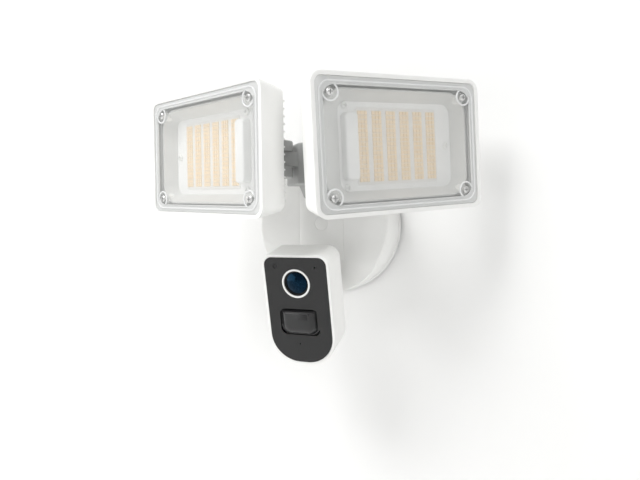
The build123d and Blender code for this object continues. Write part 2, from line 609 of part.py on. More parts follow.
for side, name, rest in ((-1, "left", LEFT_REST), (1, "right", RIGHT_REST)):
    arm, swivel, front = lamp_planes(side, rest)
    turn = Plane(origin=arm.origin, x_dir=arm.x_dir, z_dir=arm.y_dir)
    flank = Plane(origin=arm.origin, x_dir=arm.z_dir, z_dir=arm.x_dir)
    hinge = Plane(origin=swivel.origin, x_dir=swivel.z_dir, z_dir=swivel.x_dir)
    stem_x = -side * HEAD_OFFSET_OUT
    stem_y = -HEAD_OFFSET_UP
    board_screws = [(-side * BOARD_SCREW_OUT[0], BOARD_SCREW_OUT[1]),
                    (-side * BOARD_SCREW_OUT[0], -BOARD_SCREW_OUT[1]),
                    (side * BOARD_SCREW_IN, 0)]
    board_screws = [(x + side * BOARD_OUT, y) for x, y in board_screws]

    with BuildPart() as pan_knuckle:
        with BuildSketch(turn):
            Circle(YOKE_R)
            with Locations((0, -(YOKE_WEB_BACK + YOKE_WEB) / 2)):
                Rectangle(YOKE_R * 2, YOKE_WEB_BACK + YOKE_WEB)
        extrude(amount=YOKE_HALF, both=True)
        fillet(pan_knuckle.faces().sort_by(Axis.Z)[-1].edges()
               + pan_knuckle.faces().sort_by(Axis.Z)[0].edges(), YOKE_EDGE_R)
        with BuildSketch(turn):
            with Locations((0, (YOKE_R + 1 - YOKE_WEB_BACK) / 2)):
                Rectangle(YOKE_R * 2 + 1, YOKE_WEB_BACK + YOKE_R + 1)
        extrude(amount=LUG_GAP, both=True, mode=Mode.SUBTRACT)
        with BuildSketch(flank):
            with Locations((TILT_REACH, 0)):
                Circle(TONGUE_R)
            with Locations(((TILT_REACH + YOKE_WEB_BACK) / 2 + 0.5, 0)):
                Rectangle(TILT_REACH - YOKE_WEB_BACK - 1, TONGUE_R * 2)
        extrude(amount=TONGUE_T / 2, both=True)
        with BuildSketch(turn):
            Circle(PAN_PIN_D / 2 + RUN)
        extrude(amount=YOKE_HALF + 1, both=True, mode=Mode.SUBTRACT)
        with BuildSketch(flank):
            with Locations((TILT_REACH, 0)):
                Circle(TILT_PIN_D / 2 + RUN)
        extrude(amount=TONGUE_T, both=True, mode=Mode.SUBTRACT)
    write(pan_knuckle, name + "_pan_knuckle")

    with BuildPart() as tilt_pin:
        with BuildSketch(hinge):
            Circle(TILT_PIN_D / 2)
        extrude(amount=EAR_IN + EAR_T - PIN_RECESS / 2, both=True)
    write(tilt_pin, name + "_tilt_pin")

    with BuildPart() as swivel_stem:
        with BuildSketch(hinge):
            Circle(TONGUE_R)
            with Locations((DISC_BACK / 2 + 0.5, 0)):
                Rectangle(DISC_BACK + 1, TONGUE_R * 2)
        extrude(amount=EAR_IN + EAR_T, both=True)
        with BuildSketch(hinge):
            with Locations((-1, 0)):
                Rectangle((DISC_BACK + 1) * 2, TONGUE_R * 2 + 2)
        extrude(amount=EAR_IN, both=True, mode=Mode.SUBTRACT)
        with BuildSketch(swivel.offset(DISC_BACK)):
            Circle(DISC_D / 2)
        extrude(amount=DISC_T)
        with BuildSketch(swivel.offset(STEM_START)):
            Circle(STEM_D / 2)
        extrude(amount=NUT_BACK + NUT_T - STEM_START)
        with BuildSketch(hinge):
            Circle(TILT_PIN_D / 2)
        extrude(amount=EAR_IN + EAR_T + 1, both=True, mode=Mode.SUBTRACT)
    write(swivel_stem, name + "_swivel_stem")

    with BuildPart() as swivel_nut:
        with BuildSketch(swivel.offset(NUT_BACK)):
            RegularPolygon(NUT_D / 2, 6)
            Circle(STEM_D / 2, mode=Mode.SUBTRACT)
        extrude(amount=NUT_T)
    write(swivel_nut, name + "_swivel_nut")

    with BuildPart() as head_collar:
        with BuildSketch(front.offset(-HEAD_DEPTH)):
            with Locations((stem_x, stem_y)):
                Circle(DISC_D / 2)
                Circle(STEM_HOLE_R, mode=Mode.SUBTRACT)
        extrude(amount=-(HEAD_BACK - STEM_START - SLIDE))
    write(head_collar, name + "_head_collar")

    with BuildPart() as head_housing:
        with BuildSketch(front):
            RectangleRounded(HEAD_W, HEAD_H, HEAD_CORNER_R)
        with BuildSketch(front.offset(-HEAD_DEPTH)):
            RectangleRounded(HEAD_W - 2 * HEAD_TAPER, HEAD_H - 2 * HEAD_TAPER, HEAD_CORNER_R - 2)
        loft()
        with BuildSketch(front.offset(-SEAT_DEPTH)):
            RectangleRounded(OUTLINE_W, OUTLINE_H, HEAD_CORNER_R - HEAD_RIM)
        extrude(amount=SEAT_DEPTH, mode=Mode.SUBTRACT)
        with BuildSketch(front.offset(-FLOOR_DEPTH)):
            RectangleRounded(CAVITY_W, CAVITY_H, CAVITY_CORNER_R)
        extrude(amount=FLOOR_DEPTH - SEAT_DEPTH, mode=Mode.SUBTRACT)
        with BuildSketch(front.offset(-FLOOR_DEPTH)):
            with Locations(*CORNER_SCREWS):
                Circle(CORNER_BOSS_D / 2)
        extrude(amount=FLOOR_DEPTH - SEAT_DEPTH)
        with BuildSketch(front.offset(-FLOOR_DEPTH)):
            with Locations(*board_screws):
                Circle(BOSS_D / 2)
        extrude(amount=FLOOR_DEPTH - BOARD_BACK)
        with BuildSketch(front.offset(-HEAD_DEPTH)):
            with GridLocations(1, FIN_PITCH, 1, FIN_COUNT):
                Rectangle(FIN_W, FIN_T)
        extrude(amount=-FIN_DEPTH, taper=FIN_DRAFT)
        with BuildSketch(front.offset(-HEAD_DEPTH)):
            with Locations((stem_x, stem_y)):
                Circle(POCKET_D / 2)
        extrude(amount=-FIN_DEPTH, mode=Mode.SUBTRACT)
        with BuildSketch(front.offset(-HEAD_DEPTH - 1)):
            with Locations((stem_x, stem_y)):
                Circle(STEM_HOLE_R)
        extrude(amount=HEAD_FLOOR + 2, mode=Mode.SUBTRACT)
        with BuildSketch(front.offset(-SEAT_DEPTH)):
            with Locations(*CORNER_SCREWS):
                Circle(SCREW_R)
        extrude(amount=-SCREW_L, mode=Mode.SUBTRACT)
        with BuildSketch(front.offset(-BOARD_BACK)):
            with Locations(*board_screws):
                Circle(SCREW_R)
        extrude(amount=-BOARD_SCREW_DEPTH, mode=Mode.SUBTRACT)
    write(head_housing, name + "_head_housing")

    with BuildPart() as tray:
        for inset, mode in ((0, Mode.ADD), (TRAY_T, Mode.SUBTRACT)):
            with BuildSketch(front.offset(-SEAT_DEPTH - SEAT)) as top:
                Rectangle(TRAY_TOP_W - 2 * inset, TRAY_TOP_H - 2 * inset)
                chamfer(top.vertices(), TRAY_CORNER - inset)
            with BuildSketch(front.offset(-BOARD_FRONT)) as bottom:
                with Locations((side * BOARD_OUT, 0)):
                    Rectangle(TRAY_FLOOR_W - 2 * inset, TRAY_FLOOR_H - 2 * inset)
                chamfer(bottom.vertices(), TRAY_FLOOR_CORNER - inset)
            loft(mode=mode)
    write(tray, name + "_tray")

    with BuildPart() as led_board:
        with BuildSketch(front.offset(-BOARD_BACK)):
            with Locations((side * BOARD_OUT, 0)):
                RectangleRounded(BOARD_W, BOARD_H, LIGHT_BOARD_R)
            with Locations(*board_screws):
                Circle(SCREW_R + SEAT, mode=Mode.SUBTRACT)
        extrude(amount=BOARD_T)
    write(led_board, name + "_led_board")

    with BuildPart() as led_strips:
        with BuildSketch(front.offset(-BOARD_FRONT)):
            with Locations((side * BOARD_OUT, 0)):
                Rectangle(LED_PANEL_W, LED_PANEL_H)
                with GridLocations(LED_STRIP_PITCH, 1, LED_STRIPS, 1):
                    Rectangle(LED_STRIP_W, LED_STRIP_L, mode=Mode.SUBTRACT)
        extrude(amount=LED_PANEL_T)
        with BuildSketch(front.offset(-BOARD_FRONT)):
            with Locations((side * BOARD_OUT, 0)):
                with GridLocations(LED_STRIP_PITCH, 1, LED_STRIPS, 1):
                    Rectangle(LED_STRIP_W - 2 * SEAT, LED_STRIP_L - 2 * SEAT)
        extrude(amount=LED_STRIP_T)
    write(led_strips, name + "_led_strips")

    with BuildPart() as wire_cover:
        with BuildSketch(front.offset(-BOARD_FRONT)) as footprint:
            with Locations((side * (BOARD_OUT - WIRE_COVER_X), 0)):
                Rectangle(WIRE_COVER_W, WIRE_COVER_H)
            chamfer(footprint.vertices(), WIRE_COVER_CORNER)
        extrude(amount=WIRE_COVER_T)
    write(wire_cover, name + "_wire_cover")

    with BuildPart() as head_screws:
        with BuildSketch(front.offset(-LENS_INSET - SCREW_SINK)):
            with Locations(*CORNER_SCREWS):
                Circle(SCREW_HEAD_R)
        extrude(amount=SCREW_HEAD_T - SEAT)
        with BuildSketch(front.offset(-LENS_INSET - SCREW_SINK)):
            with Locations(*CORNER_SCREWS):
                Circle(SCREW_R)
        extrude(amount=-SCREW_L)
        with BuildSketch(front.offset(-BOARD_FRONT)):
            with Locations(*board_screws):
                Circle(SCREW_HEAD_R)
        extrude(amount=SCREW_HEAD_T - 4 * SEAT)
        with BuildSketch(front.offset(-BOARD_FRONT)):
            with Locations(*board_screws):
                Circle(SCREW_R)
        extrude(amount=-(BOARD_T + BOARD_SCREW_DEPTH - SEAT))
    write(head_screws, name + "_head_screws")

    with BuildPart() as lens_gasket:
        with BuildSketch(front.offset(-SEAT_DEPTH)):
            RectangleRounded(OUTLINE_W - 2 * SEAT, OUTLINE_H - 2 * SEAT, HEAD_CORNER_R - HEAD_RIM)
            RectangleRounded(CAVITY_W, CAVITY_H, CAVITY_CORNER_R, mode=Mode.SUBTRACT)
        extrude(amount=LENS_GASKET_T)
    write(lens_gasket, name + "_lens_gasket")

    with BuildPart() as lens_cover:
        with BuildSketch(front.offset(-LENS_INSET - LENS_T)):
            RectangleRounded(OUTLINE_W - 2 * SEAT, OUTLINE_H - 2 * SEAT, HEAD_CORNER_R - HEAD_RIM)
        extrude(amount=LENS_T)
        with BuildSketch(front.offset(-LENS_INSET)) as ridge:
            Rectangle(OUTLINE_W - 2 * LENS_FLANGE + 2 * LENS_RIDGE_W,
                      OUTLINE_H - 2 * LENS_FLANGE + 2 * LENS_RIDGE_W)
            Rectangle(OUTLINE_W - 2 * LENS_FLANGE, OUTLINE_H - 2 * LENS_FLANGE,
                      mode=Mode.SUBTRACT)
            with Locations(*CORNER_SCREWS):
                Circle(LENS_EYE_R)
                Circle(LENS_EYE_R - LENS_RIDGE_W, mode=Mode.SUBTRACT)
        extrude(amount=LENS_RIDGE_H)
        with BuildSketch(front):
            with Locations(*CORNER_SCREWS):
                Circle(SCREW_R + SEAT)
        extrude(amount=-LENS_INSET - LENS_T, mode=Mode.SUBTRACT)
        with BuildSketch(front.offset(-LENS_INSET - SCREW_SINK)):
            with Locations(*CORNER_SCREWS):
                Circle(SCREW_HEAD_R + SEAT)
        extrude(amount=LENS_INSET + SCREW_SINK, mode=Mode.SUBTRACT)
    write(lens_cover, name + "_lens_cover")

# ---------------------------------------------------------------- camera unit
CAM_TILT = radians(CAM_TILT_REST)
CAM_HINGE = Vector(0, CAM_PIVOT_Y - CAM_TILT_REACH, CAM_PIVOT_Z)
CAM_AHEAD = Vector(0, -cos(CAM_TILT), -sin(CAM_TILT))
CAM_UP = Vector(0, -sin(CAM_TILT), cos(CAM_TILT))
CAM_FRONT = Plane(origin=CAM_HINGE + CAM_AHEAD * CAM_REACH - CAM_UP * CAM_DROP,
                  x_dir=(1, 0, 0), z_dir=CAM_AHEAD)
CAM_DEPTH = CAM_FRONT_T + CAM_REAR_T
CAM_SIDE = Plane(origin=CAM_HINGE, x_dir=CAM_AHEAD, z_dir=(1, 0, 0))
POCKET_FLOOR = CAM_DEPTH - CAM_POCKET_DEPTH
PANEL_BACK = FACE_T - FACE_PROUD
PANEL_LEDGE = PANEL_BACK + CAM_WALL
CAM_EAR_IN = CAM_TONGUE_T / 2 + SLIDE


def unit_outline(inset, top_r, bottom_r):
    """The camera unit's outline: small top corners and a well rounded bottom."""
    with BuildSketch() as outline:
        Rectangle(CAM_W - 2 * inset, CAM_H - 2 * inset)
        fillet(outline.vertices().group_by(Axis.Y)[-1], max(top_r - inset, 1.0))
        fillet(outline.vertices().group_by(Axis.Y)[0], max(bottom_r - inset, 1.0))
    return outline.sketch


with BuildPart() as camera_knuckle:
    yoke = Plane(origin=(0, CAM_PIVOT_Y, CAM_PIVOT_Z), x_dir=(1, 0, 0), z_dir=(0, 0, 1))
    blade = Plane(origin=(0, CAM_PIVOT_Y, CAM_PIVOT_Z), x_dir=(0, -1, 0), z_dir=(1, 0, 0))
    with BuildSketch(yoke):
        Circle(CAM_YOKE_R)
        with Locations((0, -(CAM_WEB_BACK + CAM_WEB) / 2)):
            Rectangle(CAM_YOKE_R * 2, CAM_WEB_BACK + CAM_WEB)
    extrude(amount=CAM_YOKE_HALF, both=True)
    fillet(camera_knuckle.faces().sort_by(Axis.Z)[-1].edges()
           + camera_knuckle.faces().sort_by(Axis.Z)[0].edges(), 0.8)
    with BuildSketch(yoke):
        with Locations((0, (CAM_YOKE_R + 1 - CAM_WEB_BACK) / 2)):
            Rectangle(CAM_YOKE_R * 2 + 1, CAM_WEB_BACK + CAM_YOKE_R + 1)
    extrude(amount=CAM_LUG_T / 2 + SLIDE, both=True, mode=Mode.SUBTRACT)
    with BuildSketch(blade):
        with Locations((CAM_TILT_REACH, 0)):
            Circle(CAM_TONGUE_R)
        with Locations(((CAM_TILT_REACH + CAM_WEB_BACK) / 2 + 0.5, 0)):
            Rectangle(CAM_TILT_REACH - CAM_WEB_BACK - 1, CAM_TONGUE_R * 2)
    extrude(amount=CAM_TONGUE_T / 2, both=True)
    with BuildSketch(yoke):
        Circle(CAM_PIN_D / 2 + RUN)
    extrude(amount=CAM_YOKE_HALF + 1, both=True, mode=Mode.SUBTRACT)
    with BuildSketch(blade):
        with Locations((CAM_TILT_REACH, 0)):
            Circle(CAM_PIN_D / 2 + RUN)
    extrude(amount=CAM_TONGUE_T, both=True, mode=Mode.SUBTRACT)
write(camera_knuckle, "camera_knuckle")

with BuildPart() as camera_tilt_pin:
    with BuildSketch(CAM_SIDE):
        Circle(CAM_PIN_D / 2)
    extrude(amount=CAM_EAR_IN + CAM_EAR_T - PIN_RECESS / 2, both=True)
write(camera_tilt_pin, "camera_tilt_pin")

CLEVIS_FRONT = CAM_REACH - POCKET_FLOOR
with BuildPart() as camera_clevis:
    with BuildSketch(CAM_SIDE):
        Circle(CAM_TONGUE_R)
        with Locations((CLEVIS_FRONT / 2, 0)):
            Rectangle(CLEVIS_FRONT, CAM_TONGUE_R * 2)
    extrude(amount=CAM_EAR_IN + CAM_EAR_T, both=True)
    with BuildSketch(CAM_FRONT.offset(-POCKET_FLOOR)):
        with Locations((0, CAM_DROP)):
            RectangleRounded(CAM_POCKET_W - 2, CAM_POCKET_H - 4, 3)
    extrude(amount=-CAM_CLEVIS_T)
    with BuildSketch(CAM_SIDE):
        with Locations(((CLEVIS_FRONT - CAM_CLEVIS_T - CAM_TONGUE_R) / 2 - 2, 0)):
            Rectangle(CLEVIS_FRONT - CAM_CLEVIS_T + CAM_TONGUE_R + 4, CAM_TONGUE_R * 2 + 2)
    extrude(amount=CAM_EAR_IN, both=True, mode=Mode.SUBTRACT)
    with BuildSketch(CAM_SIDE):
        Circle(CAM_PIN_D / 2)
    extrude(amount=CAM_EAR_IN + CAM_EAR_T + 1, both=True, mode=Mode.SUBTRACT)
write(camera_clevis, "camera_clevis")

with BuildPart() as camera_front_shell:
    with BuildSketch(CAM_FRONT.offset(-CAM_FRONT_T)):
        add(unit_outline(0, CAM_TOP_R, CAM_BOTTOM_R))
    extrude(amount=CAM_FRONT_T)
    chamfer(camera_front_shell.faces().sort_by(Axis(CAM_FRONT.origin, CAM_AHEAD))[-1].edges(), CAM_EDGE)
    with BuildSketch(CAM_FRONT.offset(-PANEL_BACK)):
        add(unit_outline(FACE_MARGIN, CAM_TOP_R, CAM_BOTTOM_R))
    extrude(amount=PANEL_BACK, mode=Mode.SUBTRACT)
    with BuildSketch(CAM_FRONT.offset(-CAM_FRONT_T)):
        add(unit_outline(CAM_WALL, CAM_TOP_R, CAM_BOTTOM_R))
    extrude(amount=CAM_FRONT_T - PANEL_LEDGE, mode=Mode.SUBTRACT)
    with BuildSketch(CAM_FRONT.offset(-CAM_FRONT_T)):
        with Locations(*CAM_BOSSES):
            Circle(CAM_BOSS_D / 2)
    extrude(amount=CAM_FRONT_T - PANEL_LEDGE)
    with BuildSketch(CAM_FRONT.offset(-CAM_FRONT_T)):
        with Locations((0, LENS_UP)):
            Circle(LENS_RING_D / 2 + SEAT)
        with Locations((0, PIR_UP)):
            RectangleRounded(PIR_W - 3, PIR_H - 3, PIR_CORNER_R - 1)
        with Locations(LIGHT_SENSOR_SPOT):
            Circle(LIGHT_SENSOR_D / 2 + SEAT)
    extrude(amount=CAM_FRONT_T, mode=Mode.SUBTRACT)
    with BuildSketch(CAM_FRONT.offset(-CAM_FRONT_T)):
        with Locations(*CAM_BOSSES):
            Circle(SCREW_R)
    extrude(amount=CAM_FRONT_T - PANEL_LEDGE - 1, mode=Mode.SUBTRACT)
write(camera_front_shell, "camera_front_shell")

# The left side of the unit: x_dir runs forwards, z_dir points out of the side
LEFT_SIDE = Plane(origin=CAM_FRONT.origin - Vector(CAM_W / 2, 0, 0), x_dir=CAM_AHEAD,
                  z_dir=(-1, 0, 0))
DOOR_SIGN = 1 if LEFT_SIDE.y_dir.Z > 0 else -1
DOOR_HINGE_UP = DOOR_UP + DOOR_H / 2 - DOOR_T / 2

with BuildPart() as camera_rear_shell:
    for inset, mode in ((0, Mode.ADD), (CAM_WALL, Mode.SUBTRACT)):
        with BuildSketch(CAM_FRONT.offset(-CAM_FRONT_T - CAM_SIDE_T)):
            add(unit_outline(inset, CAM_TOP_R, CAM_BOTTOM_R))
        extrude(amount=CAM_SIDE_T, mode=mode)
        with BuildSketch(CAM_FRONT.offset(-CAM_FRONT_T - CAM_SIDE_T)):
            add(unit_outline(inset, CAM_TOP_R, CAM_BOTTOM_R))
        with BuildSketch(CAM_FRONT.offset(-CAM_DEPTH + inset)):
            add(unit_outline(CAM_REAR_TAPER + inset, CAM_TOP_R + 6, CAM_BOTTOM_R))
        loft(mode=mode)
    with BuildSketch(CAM_FRONT.offset(-CAM_DEPTH)):
        with Locations((0, CAM_DROP)):
            RectangleRounded(CAM_POCKET_W + 2 * CAM_WALL, CAM_POCKET_H + 2 * CAM_WALL, 5)
    extrude(amount=CAM_POCKET_DEPTH + CAM_WALL)
    with BuildSketch(CAM_FRONT.offset(-CAM_DEPTH)):
        with Locations((0, CAM_DROP)):
            RectangleRounded(CAM_POCKET_W, CAM_POCKET_H, 3)
    extrude(amount=CAM_POCKET_DEPTH, mode=Mode.SUBTRACT)
    with BuildSketch(CAM_FRONT.offset(-CAM_DEPTH + CAM_SCREW_FLOOR)):
        with Locations(*CAM_BOSSES):
            Circle(CAM_BOSS_D / 2)
    extrude(amount=CAM_REAR_T - CAM_SCREW_FLOOR)
    with BuildSketch(CAM_FRONT.offset(-CAM_DEPTH)):
        with Locations(*CAM_BOSSES):
            Circle(SCREW_R + SEAT)
    extrude(amount=CAM_REAR_T, mode=Mode.SUBTRACT)
    with BuildSketch(CAM_FRONT.offset(-CAM_DEPTH - 1)):
        with Locations(*CAM_BOSSES):
            Circle(SCREW_HEAD_R + SEAT)
    extrude(amount=CAM_SCREW_FLOOR + CAM_SCREW_SINK + 1, mode=Mode.SUBTRACT)
    # pads on the inside of the left wall carry the card door's recess and the button's hole
    with BuildSketch(LEFT_SIDE.offset(-CAM_WALL - PAD_T)):
        with Locations((-DOOR_DEPTH, DOOR_SIGN * DOOR_UP)):
            Rectangle(DOOR_L + 2 * DOOR_PIN_L, DOOR_H + 2 * DOOR_PIN_L)
        with Locations((-DOOR_DEPTH, DOOR_SIGN * BUTTON_UP)):
            Circle(BUTTON_D / 2 + PAD_T)
    extrude(amount=PAD_T + CAM_WALL / 4)
    with BuildSketch(LEFT_SIDE):
        with Locations((-DOOR_DEPTH, DOOR_SIGN * DOOR_UP)):
            Rectangle(DOOR_L + 2 * SLIDE, DOOR_H + 2 * SLIDE)
    extrude(amount=-DOOR_T - SLIDE, mode=Mode.SUBTRACT)
    with BuildSketch(CAM_FRONT.offset(-DOOR_DEPTH)):
        with Locations((-CAM_W / 2 + DOOR_T / 2, DOOR_HINGE_UP)):
            Circle(DOOR_PIN_D / 2 + RUN)
    extrude(amount=DOOR_L / 2 + DOOR_PIN_L + SLIDE, both=True, mode=Mode.SUBTRACT)
    with BuildSketch(LEFT_SIDE):
        with Locations((-DOOR_DEPTH, DOOR_SIGN * BUTTON_UP)):
            Circle(BUTTON_D / 2 + RUN)
    extrude(amount=-CAM_WALL - PAD_T - 1, mode=Mode.SUBTRACT)
write(camera_rear_shell, "camera_rear_shell")

with BuildPart() as card_door:
    with BuildSketch(CAM_FRONT.offset(-DOOR_DEPTH)):
        with Locations((-CAM_W / 2 + DOOR_T / 2, DOOR_UP - DOOR_T / 4)):
            Rectangle(DOOR_T, DOOR_H - DOOR_T / 2)
        with Locations((-CAM_W / 2 + DOOR_T / 2, DOOR_HINGE_UP)):
            Circle(DOOR_T / 2)
    extrude(amount=DOOR_L / 2, both=True)
    with BuildSketch(CAM_FRONT.offset(-DOOR_DEPTH)):
        with Locations((-CAM_W / 2 + DOOR_T / 2, DOOR_HINGE_UP)):
            Circle(DOOR_PIN_D / 2)
    extrude(amount=DOOR_L / 2 + DOOR_PIN_L, both=True)
write(card_door, "card_door")

with BuildPart() as reset_button:
    with BuildSketch(LEFT_SIDE.offset(BUTTON_PROUD)):
        with Locations((-DOOR_DEPTH, DOOR_SIGN * BUTTON_UP)):
            Circle(BUTTON_D / 2)
    extrude(amount=-BUTTON_PROUD - CAM_WALL - PAD_T - SEAT)
    with BuildSketch(LEFT_SIDE.offset(-CAM_WALL - PAD_T - SEAT)):
        with Locations((-DOOR_DEPTH, DOOR_SIGN * BUTTON_UP)):
            Circle(BUTTON_D / 2 + BUTTON_COLLAR)
    extrude(amount=-BUTTON_COLLAR_T)
write(reset_button, "reset_button")

with BuildPart() as camera_face:
    with BuildSketch(CAM_FRONT.offset(-PANEL_BACK)):
        add(unit_outline(FACE_MARGIN + SEAT, CAM_TOP_R, CAM_BOTTOM_R))
        with Locations((0, LENS_UP)):
            Circle(LENS_RING_D / 2 + SEAT, mode=Mode.SUBTRACT)
        with Locations((0, PIR_UP)):
            RectangleRounded(PIR_W + 2 * SEAT, PIR_H + 2 * SEAT, PIR_CORNER_R, mode=Mode.SUBTRACT)
        with Locations(LIGHT_SENSOR_SPOT):
            Circle(LIGHT_SENSOR_D / 2 + SEAT, mode=Mode.SUBTRACT)
        with Locations(*MIC_SPOTS):
            Circle(MIC_D / 2, mode=Mode.SUBTRACT)
    extrude(amount=FACE_T)
write(camera_face, "camera_face")

with BuildPart() as lens_ring:
    with BuildSketch(CAM_FRONT.offset(-PANEL_LEDGE)):
        with Locations((0, LENS_UP)):
            Circle(LENS_RING_D / 2)
            Circle(LENS_BORE_D / 2, mode=Mode.SUBTRACT)
    extrude(amount=PANEL_LEDGE + FACE_PROUD + 0.5)
write(lens_ring, "lens_ring")

with BuildPart() as lens_barrel:
    with BuildSketch(CAM_FRONT.offset(-PANEL_LEDGE)):
        with Locations((0, LENS_UP)):
            Circle(LENS_BORE_D / 2 - SEAT)
    extrude(amount=PANEL_LEDGE)
    with BuildSketch(CAM_FRONT.offset(-BOARD_DEPTH)):
        with Locations((0, LENS_UP)):
            Circle(LENS_BARREL_D / 2)
    extrude(amount=BOARD_DEPTH - PANEL_LEDGE)
    with BuildSketch(CAM_FRONT):
        with Locations((0, LENS_UP)):
            Circle(LENS_GLASS_D / 2)
    extrude(amount=-LENS_GLASS_DEPTH, mode=Mode.SUBTRACT)
    with BuildSketch(CAM_FRONT.offset(-BOARD_DEPTH)):
        with Locations((0, LENS_UP)):
            Circle(5)
    extrude(amount=2.6, mode=Mode.SUBTRACT)
write(lens_barrel, "lens_barrel")

with BuildPart() as lens_glass:
    with BuildSketch(CAM_FRONT.offset(-LENS_GLASS_DEPTH)):
        with Locations((0, LENS_UP)):
            Circle(LENS_GLASS_D / 2 - SEAT)
    extrude(amount=LENS_GLASS_DEPTH - 0.5)
    chamfer(lens_glass.faces().sort_by(Axis(CAM_FRONT.origin, CAM_AHEAD))[-1].edges(), 0.9)
write(lens_glass, "lens_glass")

with BuildPart() as image_sensor:
    with BuildSketch(CAM_FRONT.offset(-BOARD_DEPTH)):
        with Locations((0, LENS_UP)):
            Rectangle(SENSOR_W, SENSOR_W)
    extrude(amount=SENSOR_T)
write(image_sensor, "image_sensor")

with BuildPart() as pir_lens:
    with BuildSketch(CAM_FRONT.offset(-PANEL_BACK)):
        with Locations((0, PIR_UP)):
            RectangleRounded(PIR_W, PIR_H, PIR_CORNER_R)
    extrude(amount=PANEL_BACK)
    with BuildSketch(CAM_FRONT):
        with Locations((0, PIR_UP)):
            RectangleRounded(PIR_W - 5, PIR_H - 5, PIR_CORNER_R - 1)
    with BuildSketch(CAM_FRONT.offset(PIR_BULGE)):
        with Locations((0, PIR_UP)):
            RectangleRounded(PIR_W - 14, PIR_H - 11, PIR_CORNER_R - 1)
    loft()
write(pir_lens, "pir_lens")

with BuildPart() as light_sensor:
    with BuildSketch(CAM_FRONT.offset(-PANEL_LEDGE)):
        with Locations(LIGHT_SENSOR_SPOT):
            Circle(LIGHT_SENSOR_D / 2)
    extrude(amount=PANEL_LEDGE)
write(light_sensor, "light_sensor")

with BuildPart() as camera_board:
    with BuildSketch(CAM_FRONT.offset(-BOARD_DEPTH - BOARD_T)):
        with Locations((0, CAM_BOARD_UP)):
            RectangleRounded(CAM_BOARD_W, CAM_BOARD_H, BOARD_CORNER_R)
    extrude(amount=BOARD_T)
write(camera_board, "camera_board")

with BuildPart() as pir_sensor:
    with BuildSketch(CAM_FRONT.offset(-BOARD_DEPTH)):
        with Locations((0, PIR_UP)):
            Circle(PIR_CAN_D / 2)
    extrude(amount=PIR_CAN_T)
write(pir_sensor, "pir_sensor")

with BuildPart() as speaker:
    with BuildSketch(CAM_FRONT.offset(-BOARD_DEPTH - BOARD_T - SPEAKER_T)):
        with Locations((0, SPEAKER_UP)):
            Circle(SPEAKER_D / 2)
    extrude(amount=SPEAKER_T)
write(speaker, "speaker")

with BuildPart() as camera_screws:
    with BuildSketch(CAM_FRONT.offset(-CAM_DEPTH + CAM_SCREW_FLOOR + CAM_SCREW_SINK)):
        with Locations(*CAM_BOSSES):
            Circle(SCREW_HEAD_R)
    extrude(amount=-SCREW_HEAD_T)
    with BuildSketch(CAM_FRONT.offset(-CAM_DEPTH + CAM_SCREW_FLOOR + CAM_SCREW_SINK)):
        with Locations(*CAM_BOSSES):
            Circle(SCREW_R)
    extrude(amount=CAM_DEPTH - CAM_SCREW_FLOOR - CAM_SCREW_SINK - PANEL_LEDGE - 1.5)
write(camera_screws, "camera_screws")
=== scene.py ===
"""A wall-mounted floodlight with two lamp heads and a camera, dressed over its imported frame.

Every piece stands in the frame's own coordinates, in metres: +Z is up, +X is to the right as
the light is seen from the front, and the wall is the plane Y = 0.  Pieces are made in the
order in which the light is put together, from the wall outwards.
"""
import math

import bmesh
import bpy
from mathutils import Matrix, Vector


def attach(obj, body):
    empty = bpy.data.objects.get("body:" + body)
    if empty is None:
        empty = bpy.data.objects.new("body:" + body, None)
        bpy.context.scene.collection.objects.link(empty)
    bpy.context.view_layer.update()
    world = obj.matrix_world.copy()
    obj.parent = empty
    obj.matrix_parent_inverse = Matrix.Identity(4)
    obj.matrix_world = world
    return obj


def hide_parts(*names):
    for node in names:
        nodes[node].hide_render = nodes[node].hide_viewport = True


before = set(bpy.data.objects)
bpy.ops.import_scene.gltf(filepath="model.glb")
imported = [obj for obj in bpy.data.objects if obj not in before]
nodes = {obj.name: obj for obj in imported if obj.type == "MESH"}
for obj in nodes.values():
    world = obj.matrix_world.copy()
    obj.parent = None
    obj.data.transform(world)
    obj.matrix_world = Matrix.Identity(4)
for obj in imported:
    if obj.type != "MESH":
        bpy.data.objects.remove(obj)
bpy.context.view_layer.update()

# ---------------------------------------------------------------- room, camera and lamps
# A plain pale wall and floor, seen from their front only, with a soft key lamp high on the
# left, a wide softbox low on the left and an even white surround.
MM = 0.001
WALL_GAP = 1 * MM
ROOM_HALF = 1.6
FLOOR_Z = -0.55
EYE = Vector((0.1514, -0.4543, 0.0045))
EYE_AZIMUTH = 20.43
EYE_PITCH = 2.21
EYE_ROLL = -0.66
EYE_LENS = 27.3
EYE_SHIFT = -0.06


def linear(code):
    """An sRGB hex colour as the linear RGBA that shaders take."""
    parts = [int(code[i:i + 2], 16) / 255 for i in (1, 3, 5)]
    return [c / 12.92 if c <= 0.04045 else ((c + 0.055) / 1.055) ** 2.4 for c in parts] + [1.0]


def add_node(tree, kind, links=None, **settings):
    """Adds one node; a capitalised setting is a socket, any other is a property of the node."""
    made = tree.nodes.new(kind)
    for name, value in settings.items():
        if name[0].isupper():
            made.inputs[name.replace("_", " ")].default_value = value
        else:
            setattr(made, name, value)
    for name, source in (links or {}).items():
        tree.links.new(source, made.inputs[name])
    return made


